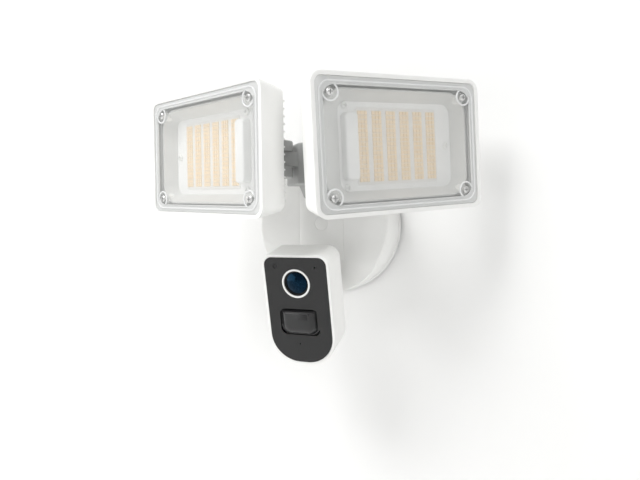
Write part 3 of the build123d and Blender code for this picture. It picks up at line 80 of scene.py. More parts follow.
def one_sided_paper():
    """Matt white paper seen from its front; from behind, or from within 20 mm, it lets light by."""
    made = bpy.data.materials.new("matt_backdrop_paper")
    made.use_nodes = True
    tree = made.node_tree
    tree.nodes.clear()
    paper = add_node(tree, "ShaderNodeBsdfDiffuse", Color=linear("#F7F7F6"))
    gap = add_node(tree, "ShaderNodeBsdfTransparent")
    side = add_node(tree, "ShaderNodeNewGeometry")
    ray = add_node(tree, "ShaderNodeLightPath")
    near = add_node(tree, "ShaderNodeMath", {0: ray.outputs["Ray Length"]}, operation="LESS_THAN")
    near.inputs[1].default_value = 20 * MM
    hidden = add_node(tree, "ShaderNodeMath", {0: side.outputs["Backfacing"],
                      1: near.outputs[0]}, operation="MAXIMUM")
    mix = add_node(tree, "ShaderNodeMixShader", {"Fac": hidden.outputs[0]})
    tree.links.new(paper.outputs[0], mix.inputs[1])
    tree.links.new(gap.outputs[0], mix.inputs[2])
    add_node(tree, "ShaderNodeOutputMaterial", {"Surface": mix.outputs[0]})
    return made


def sheet(name, corners, finish):
    """A flat sheet of the room, with its front where the corners run anticlockwise."""
    mesh = bpy.data.meshes.new(name)
    mesh.from_pydata(corners, [], [range(len(corners))])
    mesh.materials.append(finish)
    made = bpy.data.objects.new(name, mesh)
    bpy.context.scene.collection.objects.link(made)


paper = one_sided_paper()
wall_y = WALL_GAP
sheet("wall", [(-ROOM_HALF, wall_y, FLOOR_Z), (ROOM_HALF, wall_y, FLOOR_Z),
               (ROOM_HALF, wall_y, ROOM_HALF), (-ROOM_HALF, wall_y, ROOM_HALF)], paper)
sheet("floor", [(-ROOM_HALF, -ROOM_HALF, FLOOR_Z), (ROOM_HALF, -ROOM_HALF, FLOOR_Z),
                (ROOM_HALF, wall_y, FLOOR_Z), (-ROOM_HALF, wall_y, FLOOR_Z)], paper)

turn, lift = math.radians(EYE_AZIMUTH), math.radians(EYE_PITCH)
ahead = Vector((-math.sin(turn) * math.cos(lift), math.cos(turn) * math.cos(lift), math.sin(lift)))
right = Vector((math.cos(turn), math.sin(turn), 0))
above = right.cross(ahead)
camera = bpy.data.objects.new("camera", bpy.data.cameras.new("camera"))
camera.data.lens = EYE_LENS
camera.data.shift_y = EYE_SHIFT
camera.data.clip_start = 0.01
camera.matrix_world = (Matrix.Translation(EYE)
                       @ Matrix((right, above, -ahead)).transposed().to_4x4()
                       @ Matrix.Rotation(math.radians(-EYE_ROLL), 4, "Z").inverted())
bpy.context.scene.collection.objects.link(camera)
bpy.context.scene.camera = camera


def lamp(name, place, aim, width, height, watts, spin=0.0):
    """A rectangular softbox at a place, aimed at a point and turned about its own axis."""
    made = bpy.data.objects.new(name, bpy.data.lights.new(name, "AREA"))
    made.data.shape = "RECTANGLE"
    made.data.size = width
    made.data.size_y = height
    made.data.energy = watts
    facing = (Vector(aim) - Vector(place)).to_track_quat("-Z", "Y").to_matrix().to_4x4()
    made.matrix_world = Matrix.Translation(place) @ facing @ Matrix.Rotation(spin, 4, "Z")
    bpy.context.scene.collection.objects.link(made)


lamp("key", (-0.6, -1.05, 1.25), (0.0, -0.05, 0.0), 0.7, 0.7, 17.0)
lamp("softbox", (-1.16, -1.16, -0.42), (0.0, -0.08, -0.08), 1.1, 1.1, 8.0, math.radians(-30))
lamp("rim", (1.1, -0.9, 0.5), (0.0, -0.08, 0.0), 0.5, 0.9, 4.0)
world = bpy.data.worlds.new("surround")
world.use_nodes = True
world.node_tree.nodes["Background"].inputs["Color"].default_value = linear("#FFFFFF")
world.node_tree.nodes["Background"].inputs["Strength"].default_value = 0.46
bpy.context.scene.world = world
bpy.context.scene.view_settings.view_transform = "Standard"

# ---------------------------------------------------------------- wall plate and gasket
# The back plate is a moulded white disc on a ring of closed-cell foam, and a zinc-plated steel
# bracket joins both to the wall box.


def new_finish(name, colour, roughness, **sockets):
    """A material with one Principled shader; returns it with its tree, shader and coordinates."""
    made = bpy.data.materials.new(name)
    made.use_nodes = True
    tree = made.node_tree
    shader = tree.nodes["Principled BSDF"]
    shader.inputs["Base Color"].default_value = linear(colour)
    shader.inputs["Roughness"].default_value = roughness
    for socket, value in sockets.items():
        shader.inputs[socket.replace("_", " ")].default_value = value
    place = add_node(tree, "ShaderNodeTexCoord").outputs["Object"]
    return made, tree, shader, place


def add_surface(tree, shader, place, colours, patch_mm, roughs, grain_mm, depth_mm):
    """Slow drift of colour and gloss over patch_mm, and a fine relief of grain_mm on top."""
    drift = add_node(tree, "ShaderNodeTexNoise", {"Vector": place}, Scale=1 / (patch_mm * MM),
                     Detail=3.0, Roughness=0.6)
    tint = add_node(tree, "ShaderNodeValToRGB", {"Fac": drift.outputs["Fac"]})
    for stop, code, at in zip(tint.color_ramp.elements, colours, (0.3, 0.7)):
        stop.position = at
        stop.color = linear(code)
    gloss = add_node(tree, "ShaderNodeMapRange", {"Value": drift.outputs["Fac"]},
                     To_Min=roughs[0], To_Max=roughs[1])
    tooth = add_node(tree, "ShaderNodeTexNoise", {"Vector": place}, Scale=1 / (grain_mm * MM),
                     Detail=2.0, Roughness=0.5)
    relief = add_node(tree, "ShaderNodeBump", {"Height": tooth.outputs["Fac"]},
                      Distance=depth_mm * MM, Strength=0.6)
    tree.links.new(tint.outputs["Color"], shader.inputs["Base Color"])
    tree.links.new(gloss.outputs["Result"], shader.inputs["Roughness"])
    tree.links.new(relief.outputs["Normal"], shader.inputs["Normal"])


def white_abs():
    """Spark-eroded white ABS: a soft satin with a fine even grain and hardly any drift."""
    made, tree, shader, place = new_finish("white_abs", "#F3F3F1", 0.42, IOR=1.53)
    add_surface(tree, shader, place, ("#F0F0EE", "#F6F6F4"), 40, (0.36, 0.46), 0.5, 0.012)
    return made


def zinc_plate():
    """Bright zinc on steel: cool grey metal with a cloudy spangle."""
    made, tree, shader, place = new_finish("zinc_plate", "#C9CBCE", 0.34, Metallic=1.0)
    add_surface(tree, shader, place, ("#B7BABF", "#D5D6D8"), 5, (0.24, 0.42), 0.4, 0.006)
    return made


def closed_cell_foam():
    """Dark closed-cell foam: dull, with the pinholes of its cells."""
    made, tree, shader, place = new_finish("closed_cell_foam", "#2E2E2F", 0.9, IOR=1.45)
    add_surface(tree, shader, place, ("#242425", "#39393A"), 4, (0.82, 0.96), 0.7, 0.12)
    return made


def grey_rubber():
    """Soft light grey rubber: matt, with a faint bloom."""
    made, tree, shader, place = new_finish("grey_rubber", "#D4D4D2", 0.7, IOR=1.52)
    add_surface(tree, shader, place, ("#CBCBC9", "#DCDCDA"), 12, (0.6, 0.78), 0.5, 0.02)
    return made


def dress(finish, *names):
    """Gives CAD nodes a finish of their own."""
    for name in names:
        piece = nodes[name]
        if not piece.material_slots:
            piece.data.materials.append(finish)
        for place in piece.material_slots:
            place.material = finish


def settle(piece, body, slot, *replaced):
    """Rides a finished piece on its body in place of CAD nodes; the slot is not used."""
    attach(piece, body)
    if replaced:
        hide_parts(*replaced)


def softened(name, body, slot, finish, width_mm, angle=28):
    """A copy of a CAD node with its sharp edges rolled over, as a mould or a die leaves them."""
    shape = bmesh.new()
    shape.from_mesh(nodes[name].data)
    bmesh.ops.remove_doubles(shape, verts=shape.verts, dist=0.004 * MM)
    bmesh.ops.dissolve_limit(shape, angle_limit=math.radians(1), verts=shape.verts,
                             edges=shape.edges, delimit={"NORMAL"})
    sharp = [e for e in shape.edges if len(e.link_faces) == 2
             and e.calc_face_angle(0) > math.radians(angle)]
    bmesh.ops.bevel(shape, geom=sharp, offset=width_mm * MM, segments=2, profile=0.6,
                    affect="EDGES", clamp_overlap=True)
    bmesh.ops.triangulate(shape, faces=[f for f in shape.faces if len(f.verts) > 4])
    mesh = bpy.data.meshes.new(name + "_skin")
    shape.to_mesh(mesh)
    shape.free()
    mesh.materials.append(finish)
    mesh.shade_smooth()
    mesh.set_sharp_from_angle(angle=math.radians(30))
    made = bpy.data.objects.new(name + "_skin", mesh)
    bpy.context.scene.collection.objects.link(made)
    settle(made, body, slot, name)
    return made


abs_white = white_abs()
zinc = zinc_plate()
rubber = grey_rubber()
dress(closed_cell_foam(), "wall_gasket")
dress(abs_white, "back_plate")
dress(zinc, "mounting_bracket", "centre_screw", "housing_screws", "pan_pins", "camera_pan_pin",
      "camera_tilt_pin", "camera_screws")
dress(rubber, "cable_grommet")

# ---------------------------------------------------------------- base
# The round housing is one white ABS moulding.  A narrow cover strip runs down its face and a
# round plug hides the centre screw.
softened("base_housing", "base", "white_plastic", abs_white, 0.4)
for name in ("strip_cover", "centre_plug"):
    softened(name, "base", "white_strip" if name == "strip_cover" else "white_plastic", abs_white,
             0.25)

# ---------------------------------------------------------------- driver inside the base
# A green glass-epoxy board carries the transformer, two cans and smaller parts, and a nylon
# terminal block takes the mains wires.


def solder_mask():
    """Green solder mask on glass epoxy: glossy, with the weave just showing through."""
    made, tree, shader, place = new_finish("solder_mask", "#1E6B3C", 0.3, IOR=1.55)
    add_surface(tree, shader, place, ("#195A33", "#237A45"), 3, (0.22, 0.38), 0.6, 0.01)
    return made


def moulded_epoxy():
    """Black moulded epoxy of electronic parts: dull, with a fine even grain."""
    made, tree, shader, place = new_finish("moulded_epoxy", "#2A2A2C", 0.55, IOR=1.55)
    add_surface(tree, shader, place, ("#232325", "#333336"), 4, (0.48, 0.64), 0.3, 0.01)
    return made


def cream_nylon():
    """Cream nylon: slightly waxy, as terminal blocks are."""
    made, tree, shader, place = new_finish("cream_nylon", "#E4DFCB", 0.4, IOR=1.53)
    add_surface(tree, shader, place, ("#DDD7C1", "#EAE6D5"), 6, (0.34, 0.48), 0.4, 0.01)
    return made


green_board = solder_mask()
epoxy = moulded_epoxy()
dress(green_board, "driver_board", "camera_board")
dress(epoxy, "driver_parts", "image_sensor", "speaker")
dress(cream_nylon(), "terminal_block")

# ---------------------------------------------------------------- neck, knuckles and stems
# The neck, the knuckles and the swivel stems are zinc die castings in a mid-grey powder coat,
# on plain steel pins.
SIDES = {"left": -1, "right": 1}


def grey_powder_coat():
    """Grey powder coat on a casting: satin, with a slight orange peel."""
    made, tree, shader, place = new_finish("grey_powder_coat", "#B2B2B1", 0.48, IOR=1.5)
    add_surface(tree, shader, place, ("#ACADAC", "#B8B9B8"), 18, (0.42, 0.55), 0.9, 0.03)
    return made


grey_coat = grey_powder_coat()
for name, body in (("neck", "base"), ("camera_arm", "base"), ("camera_knuckle", "camera_yoke"),
                   ("camera_clevis", "camera"), ("left_pan_knuckle", "left_knuckle"),
                   ("left_swivel_stem", "left_swivel"), ("right_pan_knuckle", "right_knuckle"),
                   ("right_swivel_stem", "right_swivel")):
    softened(name, body, "grey_arm", grey_coat, 0.35)
for name in SIDES:
    dress(zinc, name + "_tilt_pin", name + "_swivel_nut", name + "_head_screws")

# ---------------------------------------------------------------- lamp heads
# Each head is a shallow die-cast box in white powder coat with a finned back.  A clear
# polycarbonate cover with a double bead and an eye round each corner screw closes its front.


def white_powder_coat():
    """White powder coat on aluminium: clean satin white with a light orange peel."""
    made, tree, shader, place = new_finish("white_powder_coat", "#F4F4F2", 0.38, IOR=1.5)
    add_surface(tree, shader, place, ("#F1F1EF", "#F7F7F5"), 35, (0.32, 0.42), 0.8, 0.02)
    return made


def clear_silicone():
    """Translucent silicone cord: milky and soft."""
    made, tree, shader, place = new_finish("clear_silicone", "#D8D8D6", 0.5, IOR=1.41)
    add_surface(tree, shader, place, ("#D0D0CE", "#DEDEDC"), 8, (0.42, 0.56), 0.6, 0.01)
    return made


def clear_polycarbonate():
    """Clear polycarbonate with a light haze: what is behind it looks a little washed out."""
    made, tree, shader, place = new_finish("clear_polycarbonate", "#F2F4F3", 0.12, IOR=1.58,
                                           Alpha=0.16)
    return made


def frosted_bead():
    """The moulded bead of the cover: clear polycarbonate coloured near white, a painted highlight
    for the bright lines along its ridges.
    """
    made, tree, shader, place = new_finish("frosted_bead", "#F6F7F7", 0.22, IOR=1.58, Alpha=0.8)
    return made


def frosted_flange():
    """The cover's rim over its gasket: the same plastic, milky where the light is shut in."""
    made, tree, shader, place = new_finish("frosted_flange", "#E6E7E6", 0.2, IOR=1.58, Alpha=0.8)
    return made


def rolled_stainless():
    """Stainless screws: pale, half-bright metal."""
    made, tree, shader, place = new_finish("rolled_stainless", "#E2E2E1", 0.45, Metallic=1.0)
    add_surface(tree, shader, place, ("#DADAD9", "#E8E8E7"), 3, (0.4, 0.52), 0.3, 0.004)
    return made


def grey_panel():
    """The light panel between its strips: pale grey silicone over a white board."""
    made, tree, shader, place = new_finish("grey_panel", "#EAE8E5", 0.4, IOR=1.43)
    add_surface(tree, shader, place, ("#E7E5E2", "#EFEDEA"), 9, (0.34, 0.46), 0.6, 0.01)
    return made


def reflector_grey():
    """Light grey moulded reflector: an even satin that takes soft shading on its slopes."""
    made, tree, shader, place = new_finish("reflector_grey", "#DADAD8", 0.5, IOR=1.53)
    add_surface(tree, shader, place, ("#D6D6D4", "#DEDEDC"), 25, (0.44, 0.56), 0.5, 0.01)
    return made


def white_mask():
    """White solder mask on an aluminium board: bright and nearly matt."""
    made, tree, shader, place = new_finish("white_mask", "#F4F4F3", 0.45, IOR=1.55)
    add_surface(tree, shader, place, ("#F1F1F0", "#F7F7F6"), 14, (0.38, 0.5), 0.6, 0.008)
    return made


def warm_phosphor():
    """Yellow phosphor under clear silicone: warm cream, uneven from one chip to the next."""
    made, tree, shader, place = new_finish("warm_phosphor", "#F5DDB5", 0.35, IOR=1.45)
    add_surface(tree, shader, place, ("#F9DFB6", "#FAE6C6"), 7, (0.3, 0.42), 0.8, 0.02)
    return made


def flat_frame(name, box_name):
    """The frame of a flat-fronted piece, read from its own largest flat faces.

    X runs to the right and Y upwards along its straight sides, Z comes out of its face, and the
    origin is the middle of box_name's foremost plane.
    """
    groups = []
    for face in nodes[name].data.polygons:
        for group in groups:
            if group[0].normalized().dot(face.normal) > 0.9998:
                group[0] += face.normal * face.area
                break
        else:
            groups.append([face.normal * face.area])
    ranked = sorted((group[0] for group in groups), key=lambda total: -total.length)
    out = next(v for v in ranked if v.normalized().y < -0.3).normalized()
    side = next(v for v in ranked if abs(v.normalized().dot(out)) < 0.01).normalized()
    if abs(side.z) < 0.7:
        side = out.cross(side)
    up = side * math.copysign(1, side.z)
    axes = Matrix((up.cross(out), up, out)).transposed().to_4x4()
    lo, hi = local_box(box_name, axes)
    return Matrix.Translation(axes @ Vector(((lo.x + hi.x) / 2, (lo.y + hi.y) / 2, hi.z))) @ axes


def local_box(name, place):
    """Lowest and highest corner of a CAD node in a frame of its own."""
    back = place.inverted()
    spots = [back @ vertex.co for vertex in nodes[name].data.vertices]
    return [Vector([pick(spot[axis] for spot in spots) for axis in range(3)])
            for pick in (min, max)]


def rounded_loop(width, height, top_r, low_r, z, steps=8):
    """A rounded rectangle's points, anticlockwise from the front, at a height z."""
    loop = []
    corners = ((1, 1, top_r), (-1, 1, top_r), (-1, -1, low_r), (1, -1, low_r))
    for quarter, (across, along, radius) in enumerate(corners):
        for step in range(steps + 1):
            angle = math.radians(90) * (quarter + step / steps)
            loop.append((across * (width / 2 - radius) + radius * math.cos(angle),
                         along * (height / 2 - radius) + radius * math.sin(angle), z))
    return loop


def skin(name, loops, place, finish, close=False, cap_first=True, cap_last=True):
    """A smooth piece whose surface runs from loop to loop, set at its place in the frame."""
    shape = bmesh.new()
    rows = [[shape.verts.new(point) for point in loop] for loop in loops]
    pairs = list(zip(rows, rows[1:])) + ([(rows[-1], rows[0])] if close else [])
    for low, high in pairs:
        for i in range(len(low)):
            j = (i + 1) % len(low)
            shape.faces.new((low[i], low[j], high[j], high[i]))
    if cap_first and not close:
        shape.faces.new(rows[0][::-1])
    if cap_last and not close:
        shape.faces.new(rows[-1])
    bmesh.ops.recalc_face_normals(shape, faces=shape.faces)
    mesh = bpy.data.meshes.new(name)
    shape.to_mesh(mesh)
    shape.free()
    return plant(name, mesh, place, finish)


def plant(name, mesh, place, finish):
    """Puts a finished mesh at its place in the frame, with smooth shading between sharp edges."""
    mesh.transform(place)
    if not mesh.materials:
        mesh.materials.append(finish)
    mesh.shade_smooth()
    mesh.set_sharp_from_angle(angle=math.radians(32))
    made = bpy.data.objects.new(name, mesh)
    bpy.context.scene.collection.objects.link(made)
    return made


def new_tree(name, **inputs):
    """An empty Geometry Nodes tree with named inputs; returns it with its input and output."""
    tree = bpy.data.node_groups.new(name, "GeometryNodeTree")
    face = tree.interface
    face.new_socket("Points", in_out="INPUT", socket_type="NodeSocketGeometry")
    for socket, value in inputs.items():
        kind = "NodeSocketMaterial" if value is None else "NodeSocketFloat"
        made = face.new_socket(socket.replace("_", " "), in_out="INPUT", socket_type=kind)
        if value is not None:
            made.default_value = value
    face.new_socket("Geometry", in_out="OUTPUT", socket_type="NodeSocketGeometry")
    return tree, tree.nodes.new("NodeGroupInput"), tree.nodes.new("NodeGroupOutput")


def end_tree(tree, given, result, geometry):
    """Realizes the copies, gives them the finish and ends the tree."""
    real = add_node(tree, "GeometryNodeRealizeInstances", {"Geometry": geometry})
    dyed = add_node(tree, "GeometryNodeSetMaterial",
                    {"Geometry": real.outputs[0], "Material": given.outputs["Finish"]})
    tree.links.new(dyed.outputs[0], result.inputs[0])


def grown(name, tree, points, place, edges=(), **inputs):
    """Runs a tree on loose points or a wire and returns its result as a plain piece."""
    seeds = bpy.data.meshes.new(name + "_points")
    seeds.from_pydata(points, list(edges), [])
    holder = bpy.data.objects.new(name + "_points", seeds)
    bpy.context.scene.collection.objects.link(holder)
    live = holder.modifiers.new(name, "NODES")
    live.node_group = tree
    for item in tree.interface.items_tree:
        key = item.name.replace(" ", "_")
        if item.in_out == "INPUT" and key in inputs:
            live[item.identifier] = inputs[key]
    done = holder.evaluated_get(bpy.context.evaluated_depsgraph_get())
    mesh = bpy.data.meshes.new_from_object(done)
    holder.modifiers.remove(live)
    bpy.data.objects.remove(holder)
    return plant(name, mesh, place, None)


def chip_tree():
    """Light chips: a square block with sloping sides on every point."""
    tree, given, result = new_tree("light_chips", Width=2.6, Length=3.0, Height=0.7, Finish=None)
    foot = add_node(tree, "GeometryNodeMeshCone", {}, Vertices=4, Side_Segments=2,
                    Fill_Segments=1, Radius_Top=0.56, Radius_Bottom=0.707, Depth=1.0)
    square = add_node(tree, "GeometryNodeTransform", {"Geometry": foot.outputs["Mesh"]},
                      Rotation=(0, 0, math.radians(45)))
    size = add_node(tree, "ShaderNodeCombineXYZ", {"X": given.outputs["Width"],
                    "Y": given.outputs["Length"], "Z": given.outputs["Height"]})
    small = add_node(tree, "ShaderNodeVectorMath", {0: size.outputs[0]}, operation="SCALE",
                     Scale=MM)
    copies = add_node(tree, "GeometryNodeInstanceOnPoints", {"Points": given.outputs["Points"],
                      "Instance": square.outputs[0], "Scale": small.outputs[0]})
    end_tree(tree, given, result, copies.outputs[0])
    return tree


def bead_tree():
    """A round bead of one radius along every wire, sizes in mm."""
    tree, given, result = new_tree("beads", Radius=0.6, Finish=None)
    path = add_node(tree, "GeometryNodeMeshToCurve", {"Mesh": given.outputs["Points"]})
    size = add_node(tree, "ShaderNodeMath", {0: given.outputs["Radius"]}, operation="MULTIPLY")
    size.inputs[1].default_value = MM
    ring = add_node(tree, "GeometryNodeCurvePrimitiveCircle", {"Radius": size.outputs[0]},
                    Resolution=8)
    tube = add_node(tree, "GeometryNodeCurveToMesh", {"Curve": path.outputs[0],
                    "Profile Curve": ring.outputs[0]})
    end_tree(tree, given, result, tube.outputs[0])
    return tree


def eyed_frame(half_w, half_h, screw, eye, z, steps=12):
    """A rectangle that steps inwards round each corner screw in an arc, as one closed loop.

    Where the arc is too small to reach a side, that side is pulled in to the arc's widest point.
    """
    rise = math.acos(min((half_w - screw[0]) / eye, 1.0))
    fall = math.asin(min((half_h - screw[1]) / eye, 1.0))
    loop = []
    for quarter in range(4):
        sx, sy = ((1, 1), (-1, 1), (-1, -1), (1, -1))[quarter]
        # in the first corner the arc runs from the right side, round the inside, to the top
        start, end = -rise, -math.pi - fall
        turned = [start + (end - start) * step / steps for step in range(steps + 1)]
        arc = [(sx * (screw[0] + eye * math.cos(a)), sy * (screw[1] + eye * math.sin(a)), z)
               for a in turned]
        loop += arc if quarter % 2 == 0 else arc[::-1]
    return loop


def screw_tree():
    """Pan-head screws: a chamfered head with a cross recess and a plain shank, sizes in mm."""
    tree, given, result = new_tree("pan_head_screws", Head=5.6, Height=2.1, Shank=3.0,
                                   Length=9.0, Finish=None)
    # a unit screw is built 100 times too large, because the cut is cleaner at that size
    rim = add_node(tree, "GeometryNodeMeshCylinder", {}, Vertices=32, Radius=50, Depth=60)
    crown = add_node(tree, "GeometryNodeMeshCone", {}, Vertices=32, Side_Segments=1,
                     Radius_Top=36, Radius_Bottom=50, Depth=40)
    rim_up = add_node(tree, "GeometryNodeTransform", {"Geometry": rim.outputs["Mesh"]},
                      Translation=(0, 0, 30))
    crown_up = add_node(tree, "GeometryNodeTransform", {"Geometry": crown.outputs["Mesh"]},
                        Translation=(0, 0, 59.9))
    head = add_node(tree, "GeometryNodeMeshBoolean", {}, operation="UNION")
    for part in (rim_up, crown_up):
        tree.links.new(part.outputs[0], head.inputs["Mesh 2"])
    cross = add_node(tree, "GeometryNodeMeshBoolean", {}, operation="UNION")
    for long, wide in ((62, 13), (13, 62)):
        bar = add_node(tree, "GeometryNodeMeshCube", {}, Size=(long, wide, 80))
        raised = add_node(tree, "GeometryNodeTransform", {"Geometry": bar.outputs["Mesh"]},
                          Translation=(0, 0, 90))
        tree.links.new(raised.outputs[0], cross.inputs["Mesh 2"])
    cut = add_node(tree, "GeometryNodeMeshBoolean", {"Mesh 1": head.outputs[0],
                   "Mesh 2": cross.outputs[0]}, operation="DIFFERENCE")
    parts = []
    for body, wide, deep in ((cut.outputs[0], "Head", "Height"), (None, "Shank", "Length")):
        if body is None:
            rod = add_node(tree, "GeometryNodeMeshCylinder", {}, Vertices=24, Radius=50, Depth=100)
            body = add_node(tree, "GeometryNodeTransform", {"Geometry": rod.outputs["Mesh"]},
                            Translation=(0, 0, -50)).outputs[0]
        size = add_node(tree, "ShaderNodeCombineXYZ", {"X": given.outputs[wide],
                        "Y": given.outputs[wide], "Z": given.outputs[deep]})
        small = add_node(tree, "ShaderNodeVectorMath", {0: size.outputs[0]}, operation="SCALE",
                         Scale=MM / 100)
        copies = add_node(tree, "GeometryNodeInstanceOnPoints",
                          {"Points": given.outputs["Points"], "Instance": body,
                           "Scale": small.outputs[0]})
        parts.append(copies)
    both = add_node(tree, "GeometryNodeJoinGeometry")
    for copies in parts:
        tree.links.new(copies.outputs[0], both.inputs[0])
    end_tree(tree, given, result, both.outputs[0])
    return tree


TRAY_WALL = 1.2 * MM
TRAY_FLOOR = (106 * MM, 68 * MM)
TRAY_CORNERS = (17 * MM, 9 * MM)
PANEL = (74 * MM, 57 * MM, 0.6 * MM)
STRIPS = 6
STRIP_PITCH = 12.6 * MM
CHIP_COLUMNS = (-2.95 * MM, 0, 2.95 * MM)
CHIP_ROWS = 16
CHIP_PITCH = 3.3 * MM
CORNER_SCREW = (59.4 * MM, 36.4 * MM)
PLATE_EDGE = 0.4 * MM
PLATE_CORNER = 5.6 * MM
FLANGE = 6.0 * MM
BEAD_R = 0.75
BEAD_IN = 3.0 * MM
BEAD_GAP = 2.4 * MM
BEAD_CORNER = 9.0 * MM
EYE_R = 6.2 * MM
SCREW_HEAD_T = 2.1
COVER_SCREW_L = 8.8
BOARD_SCREW_L = 4.6
BOARD_SCREW_T = 1.8
BOARD_SCREWS = ((-46 * MM, 30 * MM), (-46 * MM, -30 * MM), (47 * MM, 0))
HOOD_EDGE = 1.6 * MM
HOOD_CORNER = 3.4 * MM
PANEL_CORNER = 1.5 * MM
PANEL_EDGE = 0.2 * MM
RIDGE_H = 0.7 * MM

white_coat = white_powder_coat()
polycarbonate = clear_polycarbonate()
bead_finish = frosted_bead()
silicone = clear_silicone()
reflector = reflector_grey()
mask = white_mask()
phosphor = warm_phosphor()
panel_finish = grey_panel()
flange_finish = frosted_flange()
stainless = rolled_stainless()
chips = chip_tree()
beads = bead_tree()
screws = screw_tree()
for name, side in SIDES.items():
    head = name + "_head"
    place = flat_frame(name + "_lens_cover", name + "_head_housing")
    dress(silicone, name + "_lens_gasket")
    dress(mask, name + "_led_board")
    softened(name + "_head_housing", head, "white_metal", white_coat, 0.7)
    softened(name + "_head_collar", head, "white_metal", white_coat, 0.5)
    lo, hi = local_box(name + "_lens_cover", place)
    wide, high, front = hi.x - lo.x, hi.y - lo.y, hi.z - RIDGE_H
    loops = []
    for inset, z in ((PLATE_EDGE, lo.z), (0, lo.z + PLATE_EDGE), (0, front - PLATE_EDGE),
                     (PLATE_EDGE * 0.3, front - PLATE_EDGE * 0.3), (PLATE_EDGE, front),
                     (FLANGE, front)):
        corner = PLATE_CORNER - inset if inset < FLANGE else BEAD_CORNER
        loops.append(rounded_loop(wide - 2 * inset, high - 2 * inset, corner, corner, z))
    cover = skin(name + "_clear_cover", loops, place, flange_finish)
    cover.data.materials.append(polycarbonate)
    for face in (cover.data.polygons[-1], cover.data.polygons[-2]):
        face.material_index = 1
    settle(cover, head, "clear_lens", name + "_lens_cover")
    outer = rounded_loop(wide - 2 * BEAD_IN, high - 2 * BEAD_IN, BEAD_CORNER, BEAD_CORNER, front)
    inset = BEAD_IN + BEAD_GAP
    inner = eyed_frame(wide / 2 - inset, high / 2 - inset, CORNER_SCREW, EYE_R, front)
    for title, wire in (("outer_bead", outer), ("inner_bead", inner)):
        closed = [(i, (i + 1) % len(wire)) for i in range(len(wire))]
        # the beads are coloured near white, a painted highlight
        bead = grown(name + "_" + title, beads, wire, place, closed, Finish=bead_finish,
                     Radius=BEAD_R)
        settle(bead, head, "clear_lens")

    lo, hi = local_box(name + "_tray", place)
    rim = (hi.x - lo.x, hi.y - lo.y)
    shift = sum(box.x for box in local_box(name + "_led_board", place)) / 2
    loops = []
    for inset in (0, TRAY_WALL):
        spans = ((TRAY_FLOOR[0], TRAY_FLOOR[1], TRAY_CORNERS[1], lo.z, shift),
                 (rim[0], rim[1], TRAY_CORNERS[0], hi.z, 0))
        for wide, high, corner, z, out in (spans if inset == 0 else spans[::-1]):
            loops.append([(x + out, y, level) for x, y, level in
                          rounded_loop(wide - 2 * inset, high - 2 * inset, corner - inset,
                                       corner - inset, z, steps=10)])
    tray = skin(name + "_reflector", loops, place, reflector, close=True)
    settle(tray, head, "reflector", name + "_tray")

    lo, hi = local_box(name + "_wire_cover", place)
    wide, high = hi.x - lo.x, hi.y - lo.y
    at = place @ Matrix.Translation(((lo.x + hi.x) / 2, 0, 0))
    loops = [rounded_loop(wide, high, HOOD_CORNER, HOOD_CORNER, lo.z)]
    for step in range(5):
        angle = math.radians(90 * step / 4)
        pull = HOOD_EDGE * (1 - math.cos(angle))
        corner = HOOD_CORNER - pull
        loops.append(rounded_loop(wide - 2 * pull, high - 2 * pull, corner, corner,
                                  hi.z - HOOD_EDGE + HOOD_EDGE * math.sin(angle)))
    cover = skin(name + "_wire_hood", loops, at, mask)
    settle(cover, head, "reflector", name + "_wire_cover")

    lo, hi = local_box(name + "_led_strips", place)
    wide, high, thick = PANEL
    at = place @ Matrix.Translation(((lo.x + hi.x) / 2, (lo.y + hi.y) / 2, 0))
    corner, inner = PANEL_CORNER, PANEL_CORNER - PANEL_EDGE
    loops = [rounded_loop(wide, high, corner, corner, lo.z),
             rounded_loop(wide, high, corner, corner, lo.z + thick * 0.7),
             rounded_loop(wide - 2 * PANEL_EDGE, high - 2 * PANEL_EDGE, inner, inner,
                          lo.z + thick)]
    panel = skin(name + "_light_panel", loops, at, panel_finish)
    settle(panel, head, "white_board", name + "_led_strips")
    spots = [((strip - (STRIPS - 1) / 2) * STRIP_PITCH + column,
              (row - (CHIP_ROWS - 1) / 2) * CHIP_PITCH, lo.z + thick)
             for strip in range(STRIPS) for column in CHIP_COLUMNS for row in range(CHIP_ROWS)]
    lights = grown(name + "_light_chips", chips, spots, at, Finish=phosphor)
    settle(lights, head, "led_phosphor")

    lo, hi = local_box(name + "_head_screws", place)
    board = local_box(name + "_led_board", place)[1].z
    spots = [(x * CORNER_SCREW[0], y * CORNER_SCREW[1], hi.z - SCREW_HEAD_T * MM)
             for x in (-1, 1) for y in (-1, 1)]
    corner = grown(name + "_cover_screws", screws, spots, place, Finish=stainless,
                   Length=COVER_SCREW_L)
    settle(corner, head, "zinc_steel", name + "_head_screws")
    spots = [(shift + side * x, y, board) for x, y in BOARD_SCREWS]
    few = grown(name + "_board_screws", screws, spots, place, Finish=white_coat,
                Length=BOARD_SCREW_L, Height=BOARD_SCREW_T)
    settle(few, head, "zinc_steel")

# ---------------------------------------------------------------- camera unit
# The unit is two white ABS shells with a gloss black face, a glass lens in a white ring, a dark
# motion lens, a rubber card door and a reset button.


def black_acrylic():
    """Polished black acrylic: deep black with a mirror gloss."""
    made, tree, shader, place = new_finish("black_acrylic", "#161617", 0.04, IOR=1.49)
    add_surface(tree, shader, place, ("#141415", "#19191A"), 20, (0.03, 0.05), 6.0, 0.0005)
    return made


def dark_polyethylene():
    """Dark infrared-passing plastic of the motion lens: a smooth, slightly soft gloss."""
    made, tree, shader, place = new_finish("dark_polyethylene", "#1D1D1E", 0.22, IOR=1.52)
    add_surface(tree, shader, place, ("#1A1A1B", "#222223"), 10, (0.18, 0.28), 1.2, 0.01)
    return made


